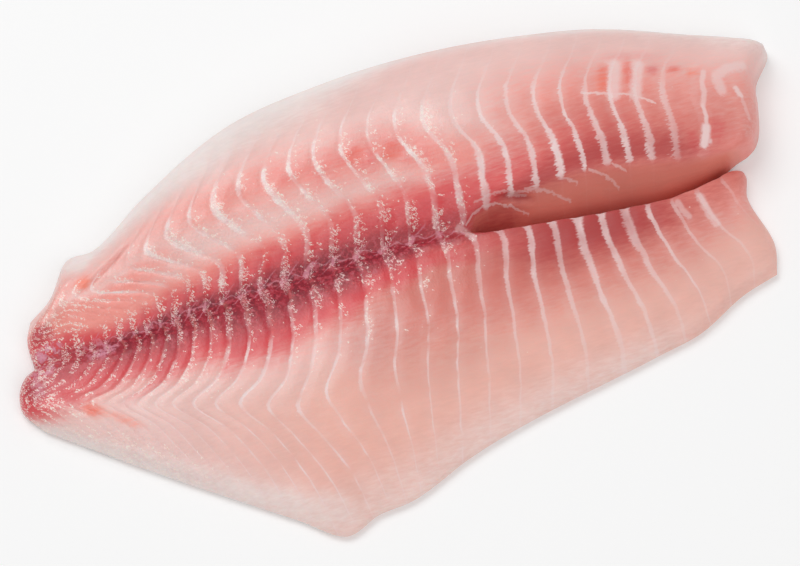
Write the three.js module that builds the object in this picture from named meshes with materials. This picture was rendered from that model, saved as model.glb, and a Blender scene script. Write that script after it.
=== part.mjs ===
// Raw tilapia fillet, skinless, lying on its skin side with the cut side up.
// Millimetres, +Z up. +X runs from the tail end to the head end, +Y from the belly to the back of the fish.
// The origin is on the surface the fillet rests on, under the middle of its outline.
//
// The fillet is one piece of flesh with two lobes, the thick back loin and the thin belly flap. They are
// grown together along a seam from the tail to the middle, and parted from there to the head end by the cut
// that took out the pin bones.
// Each lobe is a patch between four outlines: the seam, the outer edge, the tail end and the head end.
// "along" runs from 0 at the tail to 1 at the head, and "across" from 0 at the seam to 1 at the outer edge.
import * as THREE from "three";

// Outlines seen from above, as [x, y] points of a smooth curve. The fillet is 205 long and 117 wide.
const SEAM = [
  [-96.8, 3.8], [-89, 4.8], [-78, 4.3], [-56, 6], [-26, 7.2], [-12, 8], [14, 6.4], [32, 4], [52, 1.8],
  [64, 1], [76, 2.6], [82.5, 4.5],
];
const BACK_EDGE = [
  [-94.8, 16.3], [-88, 21.6], [-83.3, 28.6], [-75.2, 30.3], [-60.5, 39.9], [-36, 52.6], [-8.5, 57.6],
  [23.5, 58.2], [44, 55.9], [64, 51.8], [83, 44.5], [101.2, 36.9],
];
const BACK_TAIL_END = [[-96.8, 3.8], [-96.6, 12.4], [-94.8, 16.3]];
const BACK_HEAD_END = [
  [82.5, 4.5], [86.2, 6.6], [89, 7.4], [95.4, 19.6], [96.3, 23.7], [102.5, 33.6], [101.2, 36.9],
];
const BELLY_EDGE = [
  [-98.5, -11.9], [-79, -27.2], [-46, -51.5], [-36.2, -58.6], [-27, -55.7], [-19.3, -54.9], [-2.2, -48.5],
  [50.2, -36.8], [61.3, -34.4], [75.4, -27.7], [84.7, -25],
];
const BELLY_TAIL_END = [[-96.8, 3.8], [-99.8, 2.5], [-102.5, -5.3], [-98.5, -11.9]];
const BELLY_HEAD_END = [[82.5, 4.5], [85.9, 2.9], [84.6, -3], [86.7, -18.6], [84.7, -25]];
const SEAM_LENGTH = 179.3;

// Cross-sections at places along the fillet. They give the height of the flesh at its foot on the seam, at
// its shoulder, on its ridge and on its flank, and how far across the last three are.
const SECTIONS_ALONG = [0, 0.12, 0.28, 0.45, 0.6, 0.75, 0.9, 1];
const LOBES = {
  back: {
    side: 1,
    edge: BACK_EDGE,
    tailEnd: BACK_TAIL_END,
    headEnd: BACK_HEAD_END,
    rows: 18,
    rimHeight: 2,
    rimRadius: 5,
    foot: [4, 4.5, 5.5, 6.5, 7, 7.5, 7.5, 7.5],
    shoulder: [5.5, 7.5, 9.5, 12, 13.8, 14.5, 13.5, 11.5],
    ridge: [6, 9, 12.5, 15, 16.5, 17, 16, 13.5],
    flank: [4.5, 7, 10, 12, 13, 13, 12, 10.5],
    shoulderAcross: [0.35, 0.3, 0.22, 0.2, 0.2, 0.22, 0.2, 0.12],
    smoothWallAcross: [0.16, 0.24], // the cut left the loin's wall smooth up to here
    ridgeAcross: [0.6, 0.62, 0.6, 0.58, 0.58, 0.58, 0.55, 0.55],
    flankAcross: 0.85,
  },
  belly: {
    side: -1,
    edge: BELLY_EDGE,
    tailEnd: BELLY_TAIL_END,
    headEnd: BELLY_HEAD_END,
    rows: 15,
    rimHeight: 1.4,
    rimRadius: 3,
    foot: [4, 4.5, 5.5, 6.5, 7, 7.5, 7.5, 7.5],
    shoulder: [5.5, 7, 8, 8.6, 8.6, 8.2, 7.8, 6.5],
    ridge: [5.5, 6.5, 7.5, 8, 7.8, 7.2, 6.6, 5.5],
    flank: [4, 4.5, 4.5, 4.6, 4.6, 4.4, 4.2, 3.8],
    shoulderAcross: [0.3, 0.2, 0.13, 0.1, 0.06, 0.05, 0.05, 0.05],
    ridgeAcross: [0.6, 0.5, 0.45, 0.45, 0.45, 0.45, 0.45, 0.45],
    flankAcross: 0.88,
  },
};
const RIM_LIP = 1.6; // the flesh comes down to this many rim heights before it rounds over
const END_RADIUS = 5; // rounding at the tail end and the head end
const ROW_CROWDING = 0.5; // rows are closer together at the seam and the rim by this share
const UNDERCUT = 0.6; // how far the flat underside stands in from the rim

// The pin bone cut, from the middle of the seam to the head end, right through the flesh.
const CUT_STARTS_ALONG = 0.635;
const CUT_HALF_GAP = 0.35;
const CUT_FLOOR = 1; // height of the flesh at the foot of the cut's walls

// The flesh is a row of flakes, one for each muscle segment, with a thin sheet between each two. Where the
// sheets meet the seam they are this far apart, wide towards the head and narrow towards the tail.
const FLAKE_WIDTH_HEAD = 6.55;
const FLAKE_WIDTH_TAIL = 3.7;
const FLAKE_NARROWS_ALONG = [0.16, 0.4];
const COLUMNS_PER_FLAKE = 4;
const FLAKE_RELIEF = 0.55; // depth of the groove at each sheet
const SEAM_FLAP_RELIEF = 0.8; // height of the flaps that overlap along the seam in the tail half
const SEAM_FLAP_ACROSS = 0.1;

// The sheets run across each lobe in a chevron. The rows give how far along they are shifted from where they
// meet the seam, for sheets at the places in "along" and points at the places in "across".
const CHEVRONS = {
  back: {
    along: [0.15, 0.25, 0.36, 0.5, 0.65, 0.95],
    across: [0, 0.22, 0.5, 0.75, 1],
    shift: [
      [0, 0, 0, 0, 0, 0],
      [-0.015, -0.006, 0, -0.004, -0.022, -0.048],
      [-0.095, -0.062, -0.043, -0.045, -0.053, -0.058],
      [-0.055, -0.035, -0.012, -0.022, -0.034, -0.048],
      [-0.02, -0.01, 0.01, 0, -0.015, -0.04],
    ],
  },
  belly: {
    along: [0.15, 0.3, 0.42, 0.54, 0.66, 0.8, 0.95],
    across: [0, 0.28, 0.53, 0.76, 1],
    shift: [
      [0, 0, 0, 0, 0, 0, 0],
      [0, 0, 0, 0.003, 0.002, 0.008, 0.02],
      [-0.057, -0.052, -0.038, -0.012, -0.008, 0.012, 0.032],
      [-0.01, -0.006, -0.022, -0.036, -0.025, 0.02, 0.042],
      [0.015, 0.008, -0.022, -0.055, -0.045, 0.022, 0.048],
    ],
  },
};
const CHEVRON_ROOM = 0.85; // share of the way to either end that a sheet may lean

const FLESH = new THREE.MeshStandardMaterial({ color: 0xe3a69a, roughness: 0.35, metalness: 0 });

/** Smooth step from 0 at low to 1 at high. */
function rise(low, high, x) {
  return THREE.MathUtils.smoothstep(x, low, high);
}

/** Slopes of a smooth curve through values at knots. A level one never overshoots its values. */
function slopesThrough(knots, values, level) {
  const steps = knots.slice(1).map((knot, i) => knot - knots[i]);
  const slopes = steps.map((step, i) => (values[i + 1] - values[i]) / step);
  return values.map((_, i) => {
    if (i === 0) return slopes[0];
    if (i === slopes.length) return slopes[i - 1];
    const [before, after] = [slopes[i - 1], slopes[i]];
    if (level) return before * after <= 0 ? 0 : (2 * before * after) / (before + after);
    return (before * steps[i] + after * steps[i - 1]) / (steps[i - 1] + steps[i]);
  });
}

/** Value at x of the smooth curve through values at knots. */
function curveAt(knots, values, x, level = false) {
  const slopes = slopesThrough(knots, values, level);
  let i = 0;
  while (i < knots.length - 2 && x >= knots[i + 1]) i += 1;
  const step = knots[i + 1] - knots[i];
  const u = THREE.MathUtils.clamp((x - knots[i]) / step, 0, 1);
  const start = values[i] * (1 + 2 * u) * (1 - u) ** 2 + values[i + 1] * u * u * (3 - 2 * u);
  return start + step * (slopes[i] * u * (1 - u) ** 2 - slopes[i + 1] * u * u * (1 - u));
}

/** Distances of points from the first one, as shares of the last: in x alone, or along the chords. */
function sharesOf(points, alongX) {
  const lengths = [0];
  for (let i = 1; i < points.length; i += 1) {
    const [dx, dy] = [points[i][0] - points[i - 1][0], points[i][1] - points[i - 1][1]];
    lengths.push(lengths[i - 1] + (alongX ? dx : Math.hypot(dx, dy)));
  }
  return lengths.map((length) => length / lengths[lengths.length - 1]);
}

/** The outline through points, as a function from a share of its length to a THREE.Vector2. */
function outline(points, alongX) {
  const shares = sharesOf(points, alongX);
  const [xs, ys] = [points.map((point) => point[0]), points.map((point) => point[1])];
  return (share) => new THREE.Vector2(curveAt(shares, xs, share), curveAt(shares, ys, share));
}

const seam = outline(SEAM, true);
for (const lobe of Object.values(LOBES)) {
  lobe.edgeOutline = outline(lobe.edge, true);
  lobe.tailOutline = outline(lobe.tailEnd, false);
  lobe.headOutline = outline(lobe.headEnd, false);
}

/** Plan position of a point of a lobe: the bilinearly blended patch between its four outlines. */
function planPoint(lobe, along, across) {
  const { edgeOutline, tailOutline, headOutline } = lobe;
  const point = new THREE.Vector2();
  point.addScaledVector(seam(along), 1 - across);
  point.addScaledVector(edgeOutline(along), across);
  point.addScaledVector(tailOutline(across), 1 - along);
  point.addScaledVector(headOutline(across), along);
  point.addScaledVector(seam(0), -(1 - along) * (1 - across));
  point.addScaledVector(edgeOutline(0), -(1 - along) * across);
  point.addScaledVector(seam(1), -along * (1 - across));
  point.addScaledVector(edgeOutline(1), -along * across);
  return point;
}

/** Share of full height at a distance from an edge that is rounded over a radius. */
function rounding(distance, radius) {
  const inwards = Math.min(distance / radius, 1);
  return Math.sqrt(1 - (1 - inwards) ** 2);
}

/** Height of the smooth flesh above the surface it rests on. */
function fleshHeight(lobe, along, across) {
  const section = (values) => curveAt(SECTIONS_ALONG, values, along, true);
  const cut = rise(CUT_STARTS_ALONG - 0.025, CUT_STARTS_ALONG + 0.025, along);
  const foot = THREE.MathUtils.lerp(section(lobe.foot), CUT_FLOOR, cut);
  const knots = [0, section(lobe.shoulderAcross), section(lobe.ridgeAcross), lobe.flankAcross, 1];
  const lip = lobe.rimHeight * RIM_LIP;
  const heights = [foot, section(lobe.shoulder), section(lobe.ridge), section(lobe.flank), lip];
  const width = lobe.edgeOutline(along).distanceTo(seam(along));
  const rim =
    rounding((1 - across) * width, lobe.rimRadius) *
    rounding(along * SEAM_LENGTH, END_RADIUS) *
    rounding((1 - along) * SEAM_LENGTH, END_RADIUS);
  return THREE.MathUtils.lerp(lobe.rimHeight, curveAt(knots, heights, across, true), rim);
}

/** Relief of the flakes: each bulges between its sheets, and overlaps the next as a flap along the seam. */
function flakeRelief(lobe, along, across, withinFlake) {
  const inside = rise(0, 0.08, along) * rise(0, 0.04, 1 - along) * rise(0, 0.1, 1 - across);
  const beyondCut = rise(CUT_STARTS_ALONG - 0.03, CUT_STARTS_ALONG + 0.03, along);
  const onCutWall = lobe.smoothWallAcross ? beyondCut * (1 - rise(...lobe.smoothWallAcross, across)) : 0;
  const groove = (Math.sin(Math.PI * withinFlake) ** 0.7 - 1) * FLAKE_RELIEF * rise(0, 0.05, across);
  const tailHalf = rise(0.06, 0.16, along) * (1 - rise(0.5, 0.62, along));
  const nearSeam = Math.exp(-((across / SEAM_FLAP_ACROSS) ** 2));
  const flap = (0.5 - withinFlake) * SEAM_FLAP_RELIEF * tailHalf * nearSeam;
  return inside * (1 - onCutWall) * groove + flap;
}

/** Places where the sheets between the flakes meet the seam, from the tail end to the head end. */
function sheetPlaces() {
  const places = [1];
  const widthAt = (along) => {
    const widening = rise(...FLAKE_NARROWS_ALONG, along);
    return THREE.MathUtils.lerp(FLAKE_WIDTH_TAIL, FLAKE_WIDTH_HEAD, widening) / SEAM_LENGTH;
  };
  for (let along = 1; along > 1.6 * widthAt(along); ) {
    along -= widthAt(along);
    places.unshift(along);
  }
  return [0, ...places];
}

/** Columns of the mesh: where each meets the seam, and where it lies within its flake. */
function meshColumns() {
  const places = sheetPlaces();
  const columns = [];
  for (let flake = 0; flake < places.length - 1; flake += 1) {
    for (let step = 0; step < COLUMNS_PER_FLAKE; step += 1) {
      const withinFlake = step / COLUMNS_PER_FLAKE;
      const atSeam = THREE.MathUtils.lerp(places[flake], places[flake + 1], withinFlake);
      columns.push({ atSeam, withinFlake });
    }
  }
  columns.push({ atSeam: 1, withinFlake: 0 });
  return columns;
}

/** Place along the fillet of a point on the chevron from atSeam. The chevrons straighten at the ends. */
function alongChevron(chevron, atSeam, across) {
  const shifts = chevron.shift.map((row) => curveAt(chevron.along, row, atSeam));
  const fromTail = (atSeam * SEAM_LENGTH) / FLAKE_WIDTH_TAIL;
  const fromHead = ((1 - atSeam) * SEAM_LENGTH) / FLAKE_WIDTH_HEAD;
  const lean = Math.min(1, fromTail, fromHead) * curveAt(chevron.across, shifts, across);
  if (lean === 0) return atSeam;
  const room = CHEVRON_ROOM * (lean < 0 ? atSeam : 1 - atSeam);
  return atSeam + lean / (1 + Math.abs(lean / room) ** 4) ** 0.25;
}

/** Place across the lobe of a row of the mesh. */
function acrossRow(lobe, row) {
  const even = row / lobe.rows;
  return even - (ROW_CROWDING * Math.sin(2 * Math.PI * even)) / (2 * Math.PI);
}

/** Vertex of a lobe's upper surface. */
function surfacePoint(name, column, across) {
  const lobe = LOBES[name];
  const along = alongChevron(CHEVRONS[name], column.atSeam, across);
  const plan = planPoint(lobe, along, across);
  const height = fleshHeight(lobe, along, across) + flakeRelief(lobe, along, across, column.withinFlake);
  const opened = CUT_HALF_GAP * (column.atSeam > CUT_STARTS_ALONG ? 1 : 0) * (1 - rise(0, 0.1, across));
  return new THREE.Vector3(plan.x, plan.y + lobe.side * opened, height);
}

/** Vertices and triangles of the fillet as they are added. */
class Skin {
  constructor() {
    this.points = [];
    this.triangles = [];
  }

  /** Adds a vertex and returns its number. */
  add(point) {
    this.points.push(point);
    return this.points.length - 1;
  }

  /** Adds the quad a, b, c, d, seen anticlockwise from outside. */
  quad(a, b, c, d) {
    this.triangles.push([a, b, c], [a, c, d]);
  }
}

/** Adds a lobe's upper surface and returns its vertex numbers by column and row. Both share the seam's. */
function addLobe(skin, name, columns, seamVertices) {
  const lobe = LOBES[name];
  const grid = columns.map((column, c) => {
    const numbers = [];
    for (let row = 0; row <= lobe.rows; row += 1) {
      const grown = row === 0 && column.atSeam <= CUT_STARTS_ALONG;
      if (grown && seamVertices[c] !== undefined) {
        numbers.push(seamVertices[c]);
      } else {
        numbers.push(skin.add(surfacePoint(name, column, acrossRow(lobe, row))));
      }
      if (grown) seamVertices[c] = numbers[0];
    }
    return numbers;
  });
  for (let c = 0; c < grid.length - 1; c += 1) {
    for (let row = 0; row < lobe.rows; row += 1) {
      const [a, b, d, e] = [grid[c][row], grid[c + 1][row], grid[c + 1][row + 1], grid[c][row + 1]];
      if (lobe.side > 0) skin.quad(a, b, d, e);
      else skin.quad(b, a, e, d);
    }
  }
  return grid;
}

/** Vertex numbers along the cut: up its belly wall from the head end, then back along its loin wall. */
function cutLoop(back, belly, columns) {
  const cutColumns = columns.map((_, c) => c).filter((c) => columns[c].atSeam > CUT_STARTS_ALONG);
  const cutEnd = back[cutColumns[0] - 1][0];
  return [...cutColumns.map((c) => belly[c][0]).reverse(), cutEnd, ...cutColumns.map((c) => back[c][0])];
}

/** Vertex numbers of the rim, once round anticlockwise seen from above, with the cut's vertices given. */
function rimLoop(back, belly, cut) {
  const headColumn = back.length - 1;
  return [
    ...belly.map((column) => column.at(-1)),
    ...belly[headColumn].slice(1, -1).reverse(),
    ...cut,
    ...back[headColumn].slice(1),
    ...back.slice(0, headColumn).map((column) => column.at(-1)).reverse(),
    ...back[0].slice(0, -1).reverse(),
    ...belly[0].slice(1, -1),
  ];
}

/** Adds the low side walls and the flat underside below the rim. The cut's walls stand upright. */
function addUnderside(skin, loop, cut) {
  const rim = loop.map((number) => skin.points[number]);
  const corners = rim.map((point, i) => {
    const before = rim.at(i - 1);
    const after = rim[(i + 1) % rim.length];
    const inset = cut.includes(loop[i]) ? 0 : UNDERCUT;
    const inwards = new THREE.Vector2(before.y - after.y, after.x - before.x).setLength(inset);
    return inwards.add(point);
  });
  const feet = corners.map((corner) => skin.add(new THREE.Vector3(corner.x, corner.y, 0)));
  loop.forEach((top, i) => {
    const next = (i + 1) % loop.length;
    skin.quad(feet[i], feet[next], loop[next], top);
  });
  for (const [a, b, c] of THREE.ShapeUtils.triangulateShape(corners, [])) {
    skin.triangles.push([feet[a], feet[c], feet[b]]);
  }
}

/** The closed surface of the whole fillet. */
function filletGeometry() {
  const skin = new Skin();
  const columns = meshColumns();
  const seamVertices = [];
  const back = addLobe(skin, "back", columns, seamVertices);
  const belly = addLobe(skin, "belly", columns, seamVertices);
  const cut = cutLoop(back, belly, columns);
  addUnderside(skin, rimLoop(back, belly, cut), cut);
  const geometry = new THREE.BufferGeometry().setFromPoints(skin.points);
  geometry.setIndex(skin.triangles.flat());
  geometry.computeVertexNormals();
  return geometry;
}

const fillet = new THREE.Mesh(filletGeometry(), FLESH);
fillet.name = "fillet";

const group = new THREE.Group();
group.add(fillet);

export default group;
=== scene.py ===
"""Raw tilapia fillet, skinless, lying on its skin side with the cut side up.

The fillet is one piece of flesh with two lobes, the thick back loin and the thin belly flap. They are grown
together along a seam, and parted towards the head end by the cut that took out the pin bones. "Along" runs
from 0 at the tail end to 1 at the head end, and "across" from 0 at the seam to 1 at the outer edge. Sizes are
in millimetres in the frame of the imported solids, and are turned into metres where they enter a mesh.
"""

import logging
import math
from collections.abc import Sequence
from dataclasses import dataclass, field
from enum import Enum

import bpy
import numpy as np
from mathutils import Matrix, Vector, noise


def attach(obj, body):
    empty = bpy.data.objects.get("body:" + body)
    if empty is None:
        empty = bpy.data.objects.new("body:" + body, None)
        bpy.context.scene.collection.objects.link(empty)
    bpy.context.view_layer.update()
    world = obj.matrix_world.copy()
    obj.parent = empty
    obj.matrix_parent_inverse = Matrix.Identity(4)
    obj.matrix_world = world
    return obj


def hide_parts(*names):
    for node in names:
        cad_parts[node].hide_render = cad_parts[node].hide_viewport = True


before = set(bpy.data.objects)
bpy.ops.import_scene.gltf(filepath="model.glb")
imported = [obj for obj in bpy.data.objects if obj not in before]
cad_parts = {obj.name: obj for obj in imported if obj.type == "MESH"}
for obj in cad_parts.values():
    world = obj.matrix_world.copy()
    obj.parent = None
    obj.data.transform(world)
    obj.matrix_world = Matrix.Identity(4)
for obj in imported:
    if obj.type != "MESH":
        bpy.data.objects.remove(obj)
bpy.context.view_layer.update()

log = logging.getLogger("fillet")

MM = 0.001
Table = tuple[float, ...]
Points = tuple[tuple[float, float], ...]
Colour = tuple[float, float, float, float]
Socket = bpy.types.NodeSocket
Tree = bpy.types.NodeTree


# ---------------------------------------------------------------- curves and noise


def rise(low: float, high: float, x: np.ndarray) -> np.ndarray:
    """Smooth step from 0 where x is low to 1 where it is high."""
    u = np.clip((np.asarray(x, float) - low) / (high - low), 0.0, 1.0)
    return u * u * (3.0 - 2.0 * u)


def fall(low: float, high: float, x: np.ndarray) -> np.ndarray:
    """Smooth step from 1 where x is low to 0 where it is high."""
    return 1.0 - rise(low, high, x)


def hump(centre: float, reach: float, x: np.ndarray) -> np.ndarray:
    """Bell of height 1 around centre, down to about a third at reach from it."""
    return np.exp(-(((np.asarray(x, float) - centre) / reach) ** 2))


def curve_at(knots: Sequence, values: Sequence, x: np.ndarray, level: bool = False) -> np.ndarray:
    """Value at x of the smooth curve through values at knots.

    Args:
        knots: Places of the values, rising. Each is a number, or an array shaped like x.
        values: Values there, each a number or an array shaped like x.
        x: Places to read the curve at.
        level: Whether the curve never overshoots its values.

    Returns:
        The curve at each place.
    """
    x = np.asarray(x, float)
    at = np.stack([np.broadcast_to(np.asarray(k, float), x.shape) for k in knots])
    value = np.stack([np.broadcast_to(np.asarray(v, float), x.shape) for v in values])
    step = np.diff(at, axis=0)
    slope = np.diff(value, axis=0) / step
    tangent = np.empty_like(value)
    tangent[0], tangent[-1] = slope[0], slope[-1]
    before, after = slope[:-1], slope[1:]
    if level:
        total = np.where(before + after == 0.0, 1.0, before + after)
        tangent[1:-1] = np.where(before * after <= 0.0, 0.0, 2.0 * before * after / total)
    else:
        tangent[1:-1] = (before * step[1:] + after * step[:-1]) / (step[1:] + step[:-1])
    piece = np.sum(x[None] >= at[1:-1], axis=0)[None]

    def pick(rows: np.ndarray, offset: int) -> np.ndarray:
        """Row that each place falls in."""
        return np.take_along_axis(rows, piece + offset, axis=0)[0]

    length = pick(step, 0)
    u = np.clip((x - pick(at, 0)) / length, 0.0, 1.0)
    ends = pick(value, 0) * (1.0 + 2.0 * u) * (1.0 - u) ** 2 + pick(value, 1) * u * u * (3.0 - 2.0 * u)
    return ends + length * (pick(tangent, 0) * u * (1.0 - u) ** 2 - pick(tangent, 1) * u * u * (1.0 - u))


def ripple(x: np.ndarray, y: np.ndarray, size: float, seed: int) -> np.ndarray:
    """Smooth noise over the plan, between about -1 and 1.

    Args:
        x: Places along X.
        y: Places along Y.
        size: Size of a bump, in the same units.
        seed: Number that picks the pattern.

    Returns:
        The noise at each place.
    """
    shift = 31.7 * seed
    pairs = zip((x / size).tolist(), (y / size).tolist())
    return np.array([noise.noise(Vector((u + shift, v - shift, 0.5 * shift))) for u, v in pairs])


# ---------------------------------------------------------------- shape of the flesh


class Outline:
    """Smooth outline in plan through a few points, read by a share of its length."""

    def __init__(self, points: Points, along_x: bool) -> None:
        """Measures the outline.

        Args:
            points: Points of the outline.
            along_x: Whether its length is counted in X alone, rather than along the chords.
        """
        spots = np.array(points)
        steps = np.diff(spots, axis=0)
        lengths = steps[:, 0] if along_x else np.hypot(steps[:, 0], steps[:, 1])
        shares = np.concatenate([[0.0], np.cumsum(lengths)])
        self.shares = list(shares / shares[-1])
        self.xs, self.ys = list(spots[:, 0]), list(spots[:, 1])

    def at(self, share: np.ndarray) -> np.ndarray:
        """Plan positions at shares of the outline's length, with x and y last."""
        return np.stack([curve_at(self.shares, self.xs, share), curve_at(self.shares, self.ys, share)], -1)


SEAM = Outline((
    (-96.8, 3.8), (-89, 4.8), (-78, 4.3), (-56, 6), (-26, 7.2), (-12, 8), (14, 6.4), (32, 4), (52, 1.8),
    (64, 1), (76, 2.6), (82.5, 4.5),
), along_x=True)
SEAM_LENGTH = 179.3
SECTIONS_ALONG = (0, 0.12, 0.28, 0.45, 0.6, 0.75, 0.9, 1)
RIM_LIP = 1.6
END_RADIUS = 5.0
CUT_STARTS_ALONG = 0.635
CUT_BLEND = 0.025
CUT_FADE = 0.03
WALL_STARTS_ALONG = 0.612
WALL_GROWS_ALONG = 0.06
CUT_HALF_GAP = 0.35
CUT_FLOOR = 1.0
CHEVRON_ROOM = 0.85
ROOM_POWER = 4


@dataclass(frozen=True)
class Chevrons:
    """How far the sheets between the flakes lean along the fillet as they run across a lobe.

    Each row of shift is for one place in across, and holds a value for each place in along.
    """

    along: Table
    across: Table
    shift: tuple[Table, ...]

    def lean(self, at_seam: np.ndarray, across: np.ndarray) -> np.ndarray:
        """Shift along the fillet, at places across the lobe, of the sheets that meet the seam at at_seam."""
        rows = [curve_at(self.along, row, at_seam) for row in self.shift]
        return curve_at(self.across, rows, across)


@dataclass(frozen=True)
class LobeShape:
    """Outlines and cross-sections of one lobe."""

    side: int
    edge: Outline
    tail_end: Outline
    head_end: Outline
    rim_height: float
    rim_radius: float
    foot: Table
    shoulder: Table
    ridge: Table
    flank: Table
    shoulder_across: Table
    ridge_across: Table
    flank_across: float
    chevrons: Chevrons

    def along(self, at_seam: np.ndarray, across: np.ndarray) -> np.ndarray:
        """Place along the fillet of points on the sheets, kept clear of the fillet's ends.

        Args:
            at_seam: Where the points' sheets meet the seam.
            across: Places of the points across the lobe.

        Returns:
            The place of each point along the fillet.
        """
        from_tail = at_seam * SEAM_LENGTH / FLAKES.widths[0]
        from_head = (1.0 - at_seam) * SEAM_LENGTH / FLAKES.widths[-1]
        lean = np.minimum(1.0, np.minimum(from_tail, from_head)) * self.chevrons.lean(at_seam, across)
        room = CHEVRON_ROOM * np.where(lean < 0.0, at_seam, 1.0 - at_seam) + 1e-9
        return at_seam + lean / (1.0 + np.abs(lean / room) ** ROOM_POWER) ** (1.0 / ROOM_POWER)

    def plan(self, along: np.ndarray, across: np.ndarray) -> np.ndarray:
        """Plan positions on the bilinearly blended patch between the lobe's four outlines.

        Args:
            along: Places along the fillet.
            across: Places across the lobe.

        Returns:
            The positions, with x and y last.
        """
        start, end = np.zeros(1), np.ones(1)
        s, t = along[..., None], across[..., None]
        ruled = (1 - t) * SEAM.at(along) + t * self.edge.at(along)
        ruled = ruled + (1 - s) * self.tail_end.at(across) + s * self.head_end.at(across)
        corners = (1 - s) * ((1 - t) * SEAM.at(start) + t * self.edge.at(start))
        corners = corners + s * ((1 - t) * SEAM.at(end) + t * self.edge.at(end))
        return ruled - corners

    def width(self, along: np.ndarray) -> np.ndarray:
        """Distance from the seam to the outer edge."""
        return np.linalg.norm(self.edge.at(along) - SEAM.at(along), axis=-1)

    def height(self, along: np.ndarray, across: np.ndarray) -> np.ndarray:
        """Height of the smooth flesh above the surface it rests on.

        Args:
            along: Places along the fillet.
            across: Places across the lobe.

        Returns:
            The height at each place.
        """

        def section(values: Table) -> np.ndarray:
            """Size of the cross-section at each place along."""
            return curve_at(SECTIONS_ALONG, values, along, level=True)

        cut = rise(CUT_STARTS_ALONG - CUT_BLEND, CUT_STARTS_ALONG + CUT_BLEND, along)
        foot = section(self.foot) * (1.0 - cut) + CUT_FLOOR * cut
        knots = [0.0, section(self.shoulder_across), section(self.ridge_across), self.flank_across, 1.0]
        heights = [foot, section(self.shoulder), section(self.ridge), section(self.flank)]
        raw = curve_at(knots, heights + [self.rim_height * RIM_LIP], across, level=True)
        rim = rounding((1.0 - across) * self.width(along), self.rim_radius)
        rim = rim * rounding(along * SEAM_LENGTH, END_RADIUS)
        rim = rim * rounding((1.0 - along) * SEAM_LENGTH, END_RADIUS)
        return self.rim_height + (raw - self.rim_height) * rim


def rounding(distance: np.ndarray, radius: float) -> np.ndarray:
    """Share of full height at a distance from an edge that is rounded over a radius."""
    return np.sqrt(1.0 - (1.0 - np.clip(distance / radius, 0.0, 1.0)) ** 2)


@dataclass(frozen=True)
class FlakeRow:
    """The row of flakes, one for each muscle segment, with their widths at a few places along the fillet."""

    along: Table = (0.2, 0.3, 0.4, 0.58, 0.72, 0.86, 0.95)
    widths: Table = (3.5, 4.9, 6.2, 7.0, 6.2, 5.7, 6.9)
    shortest_end: float = 0.6

    def sheets(self) -> np.ndarray:
        """Places along the seam of the sheets between the flakes, from the tail end to the head end.

        Returns:
            The places, of which the first and the last are the fillet's ends.
        """
        places = [1.0]

        def width(along: float) -> float:
            """Share of the seam that the flake at a place takes."""
            inside = np.clip(along, self.along[0], self.along[-1])
            return float(curve_at(self.along, self.widths, inside, level=True)) / SEAM_LENGTH

        while places[0] > (1.0 + self.shortest_end) * width(places[0]):
            places.insert(0, places[0] - width(places[0]))
        return np.array([0.0] + places)


FLAKES = FlakeRow()

BACK = LobeShape(
    side=1,
    edge=Outline((
        (-94.8, 16.3), (-88, 21.6), (-83.3, 28.6), (-75.2, 30.3), (-60.5, 39.9), (-36, 52.6), (-8.5, 57.6),
        (23.5, 58.2), (44, 55.9), (64, 51.8), (83, 44.5), (101.2, 36.9),
    ), along_x=True),
    tail_end=Outline(((-96.8, 3.8), (-96.6, 12.4), (-94.8, 16.3)), along_x=False),
    head_end=Outline((
        (82.5, 4.5), (86.2, 6.6), (89, 7.4), (95.4, 19.6), (96.3, 23.7), (102.5, 33.6), (101.2, 36.9),
    ), along_x=False),
    rim_height=2.0,
    rim_radius=5.0,
    foot=(4, 4.5, 5.5, 6.5, 7, 7.5, 7.5, 7.5),
    shoulder=(5.5, 7.5, 9.5, 12, 13.8, 14.5, 13.5, 11.5),
    ridge=(6, 9, 12.5, 15, 16.5, 17, 16, 13.5),
    flank=(4.5, 7, 10, 12, 13, 13, 12, 10.5),
    shoulder_across=(0.35, 0.3, 0.22, 0.2, 0.2, 0.22, 0.2, 0.12),
    ridge_across=(0.6, 0.62, 0.6, 0.58, 0.58, 0.58, 0.55, 0.55),
    flank_across=0.85,
    chevrons=Chevrons(
        along=(0.15, 0.25, 0.36, 0.5, 0.65, 0.8, 0.95),
        across=(0, 0.22, 0.36, 0.5, 0.75, 1),
        shift=(
            (0, 0, 0, 0, 0, 0, 0),
            (-0.007, -0.001, -0.001, -0.01, -0.024, -0.028, -0.042),
            (-0.047, -0.036, -0.025, -0.032, -0.03, -0.039, -0.048),
            (-0.091, -0.063, -0.045, -0.049, -0.053, -0.05, -0.054),
            (-0.055, -0.032, -0.014, -0.027, -0.039, -0.033, -0.043),
            (-0.02, -0.01, 0.01, -0.004, -0.019, -0.02, -0.036),
        ),
    ),
)
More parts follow.
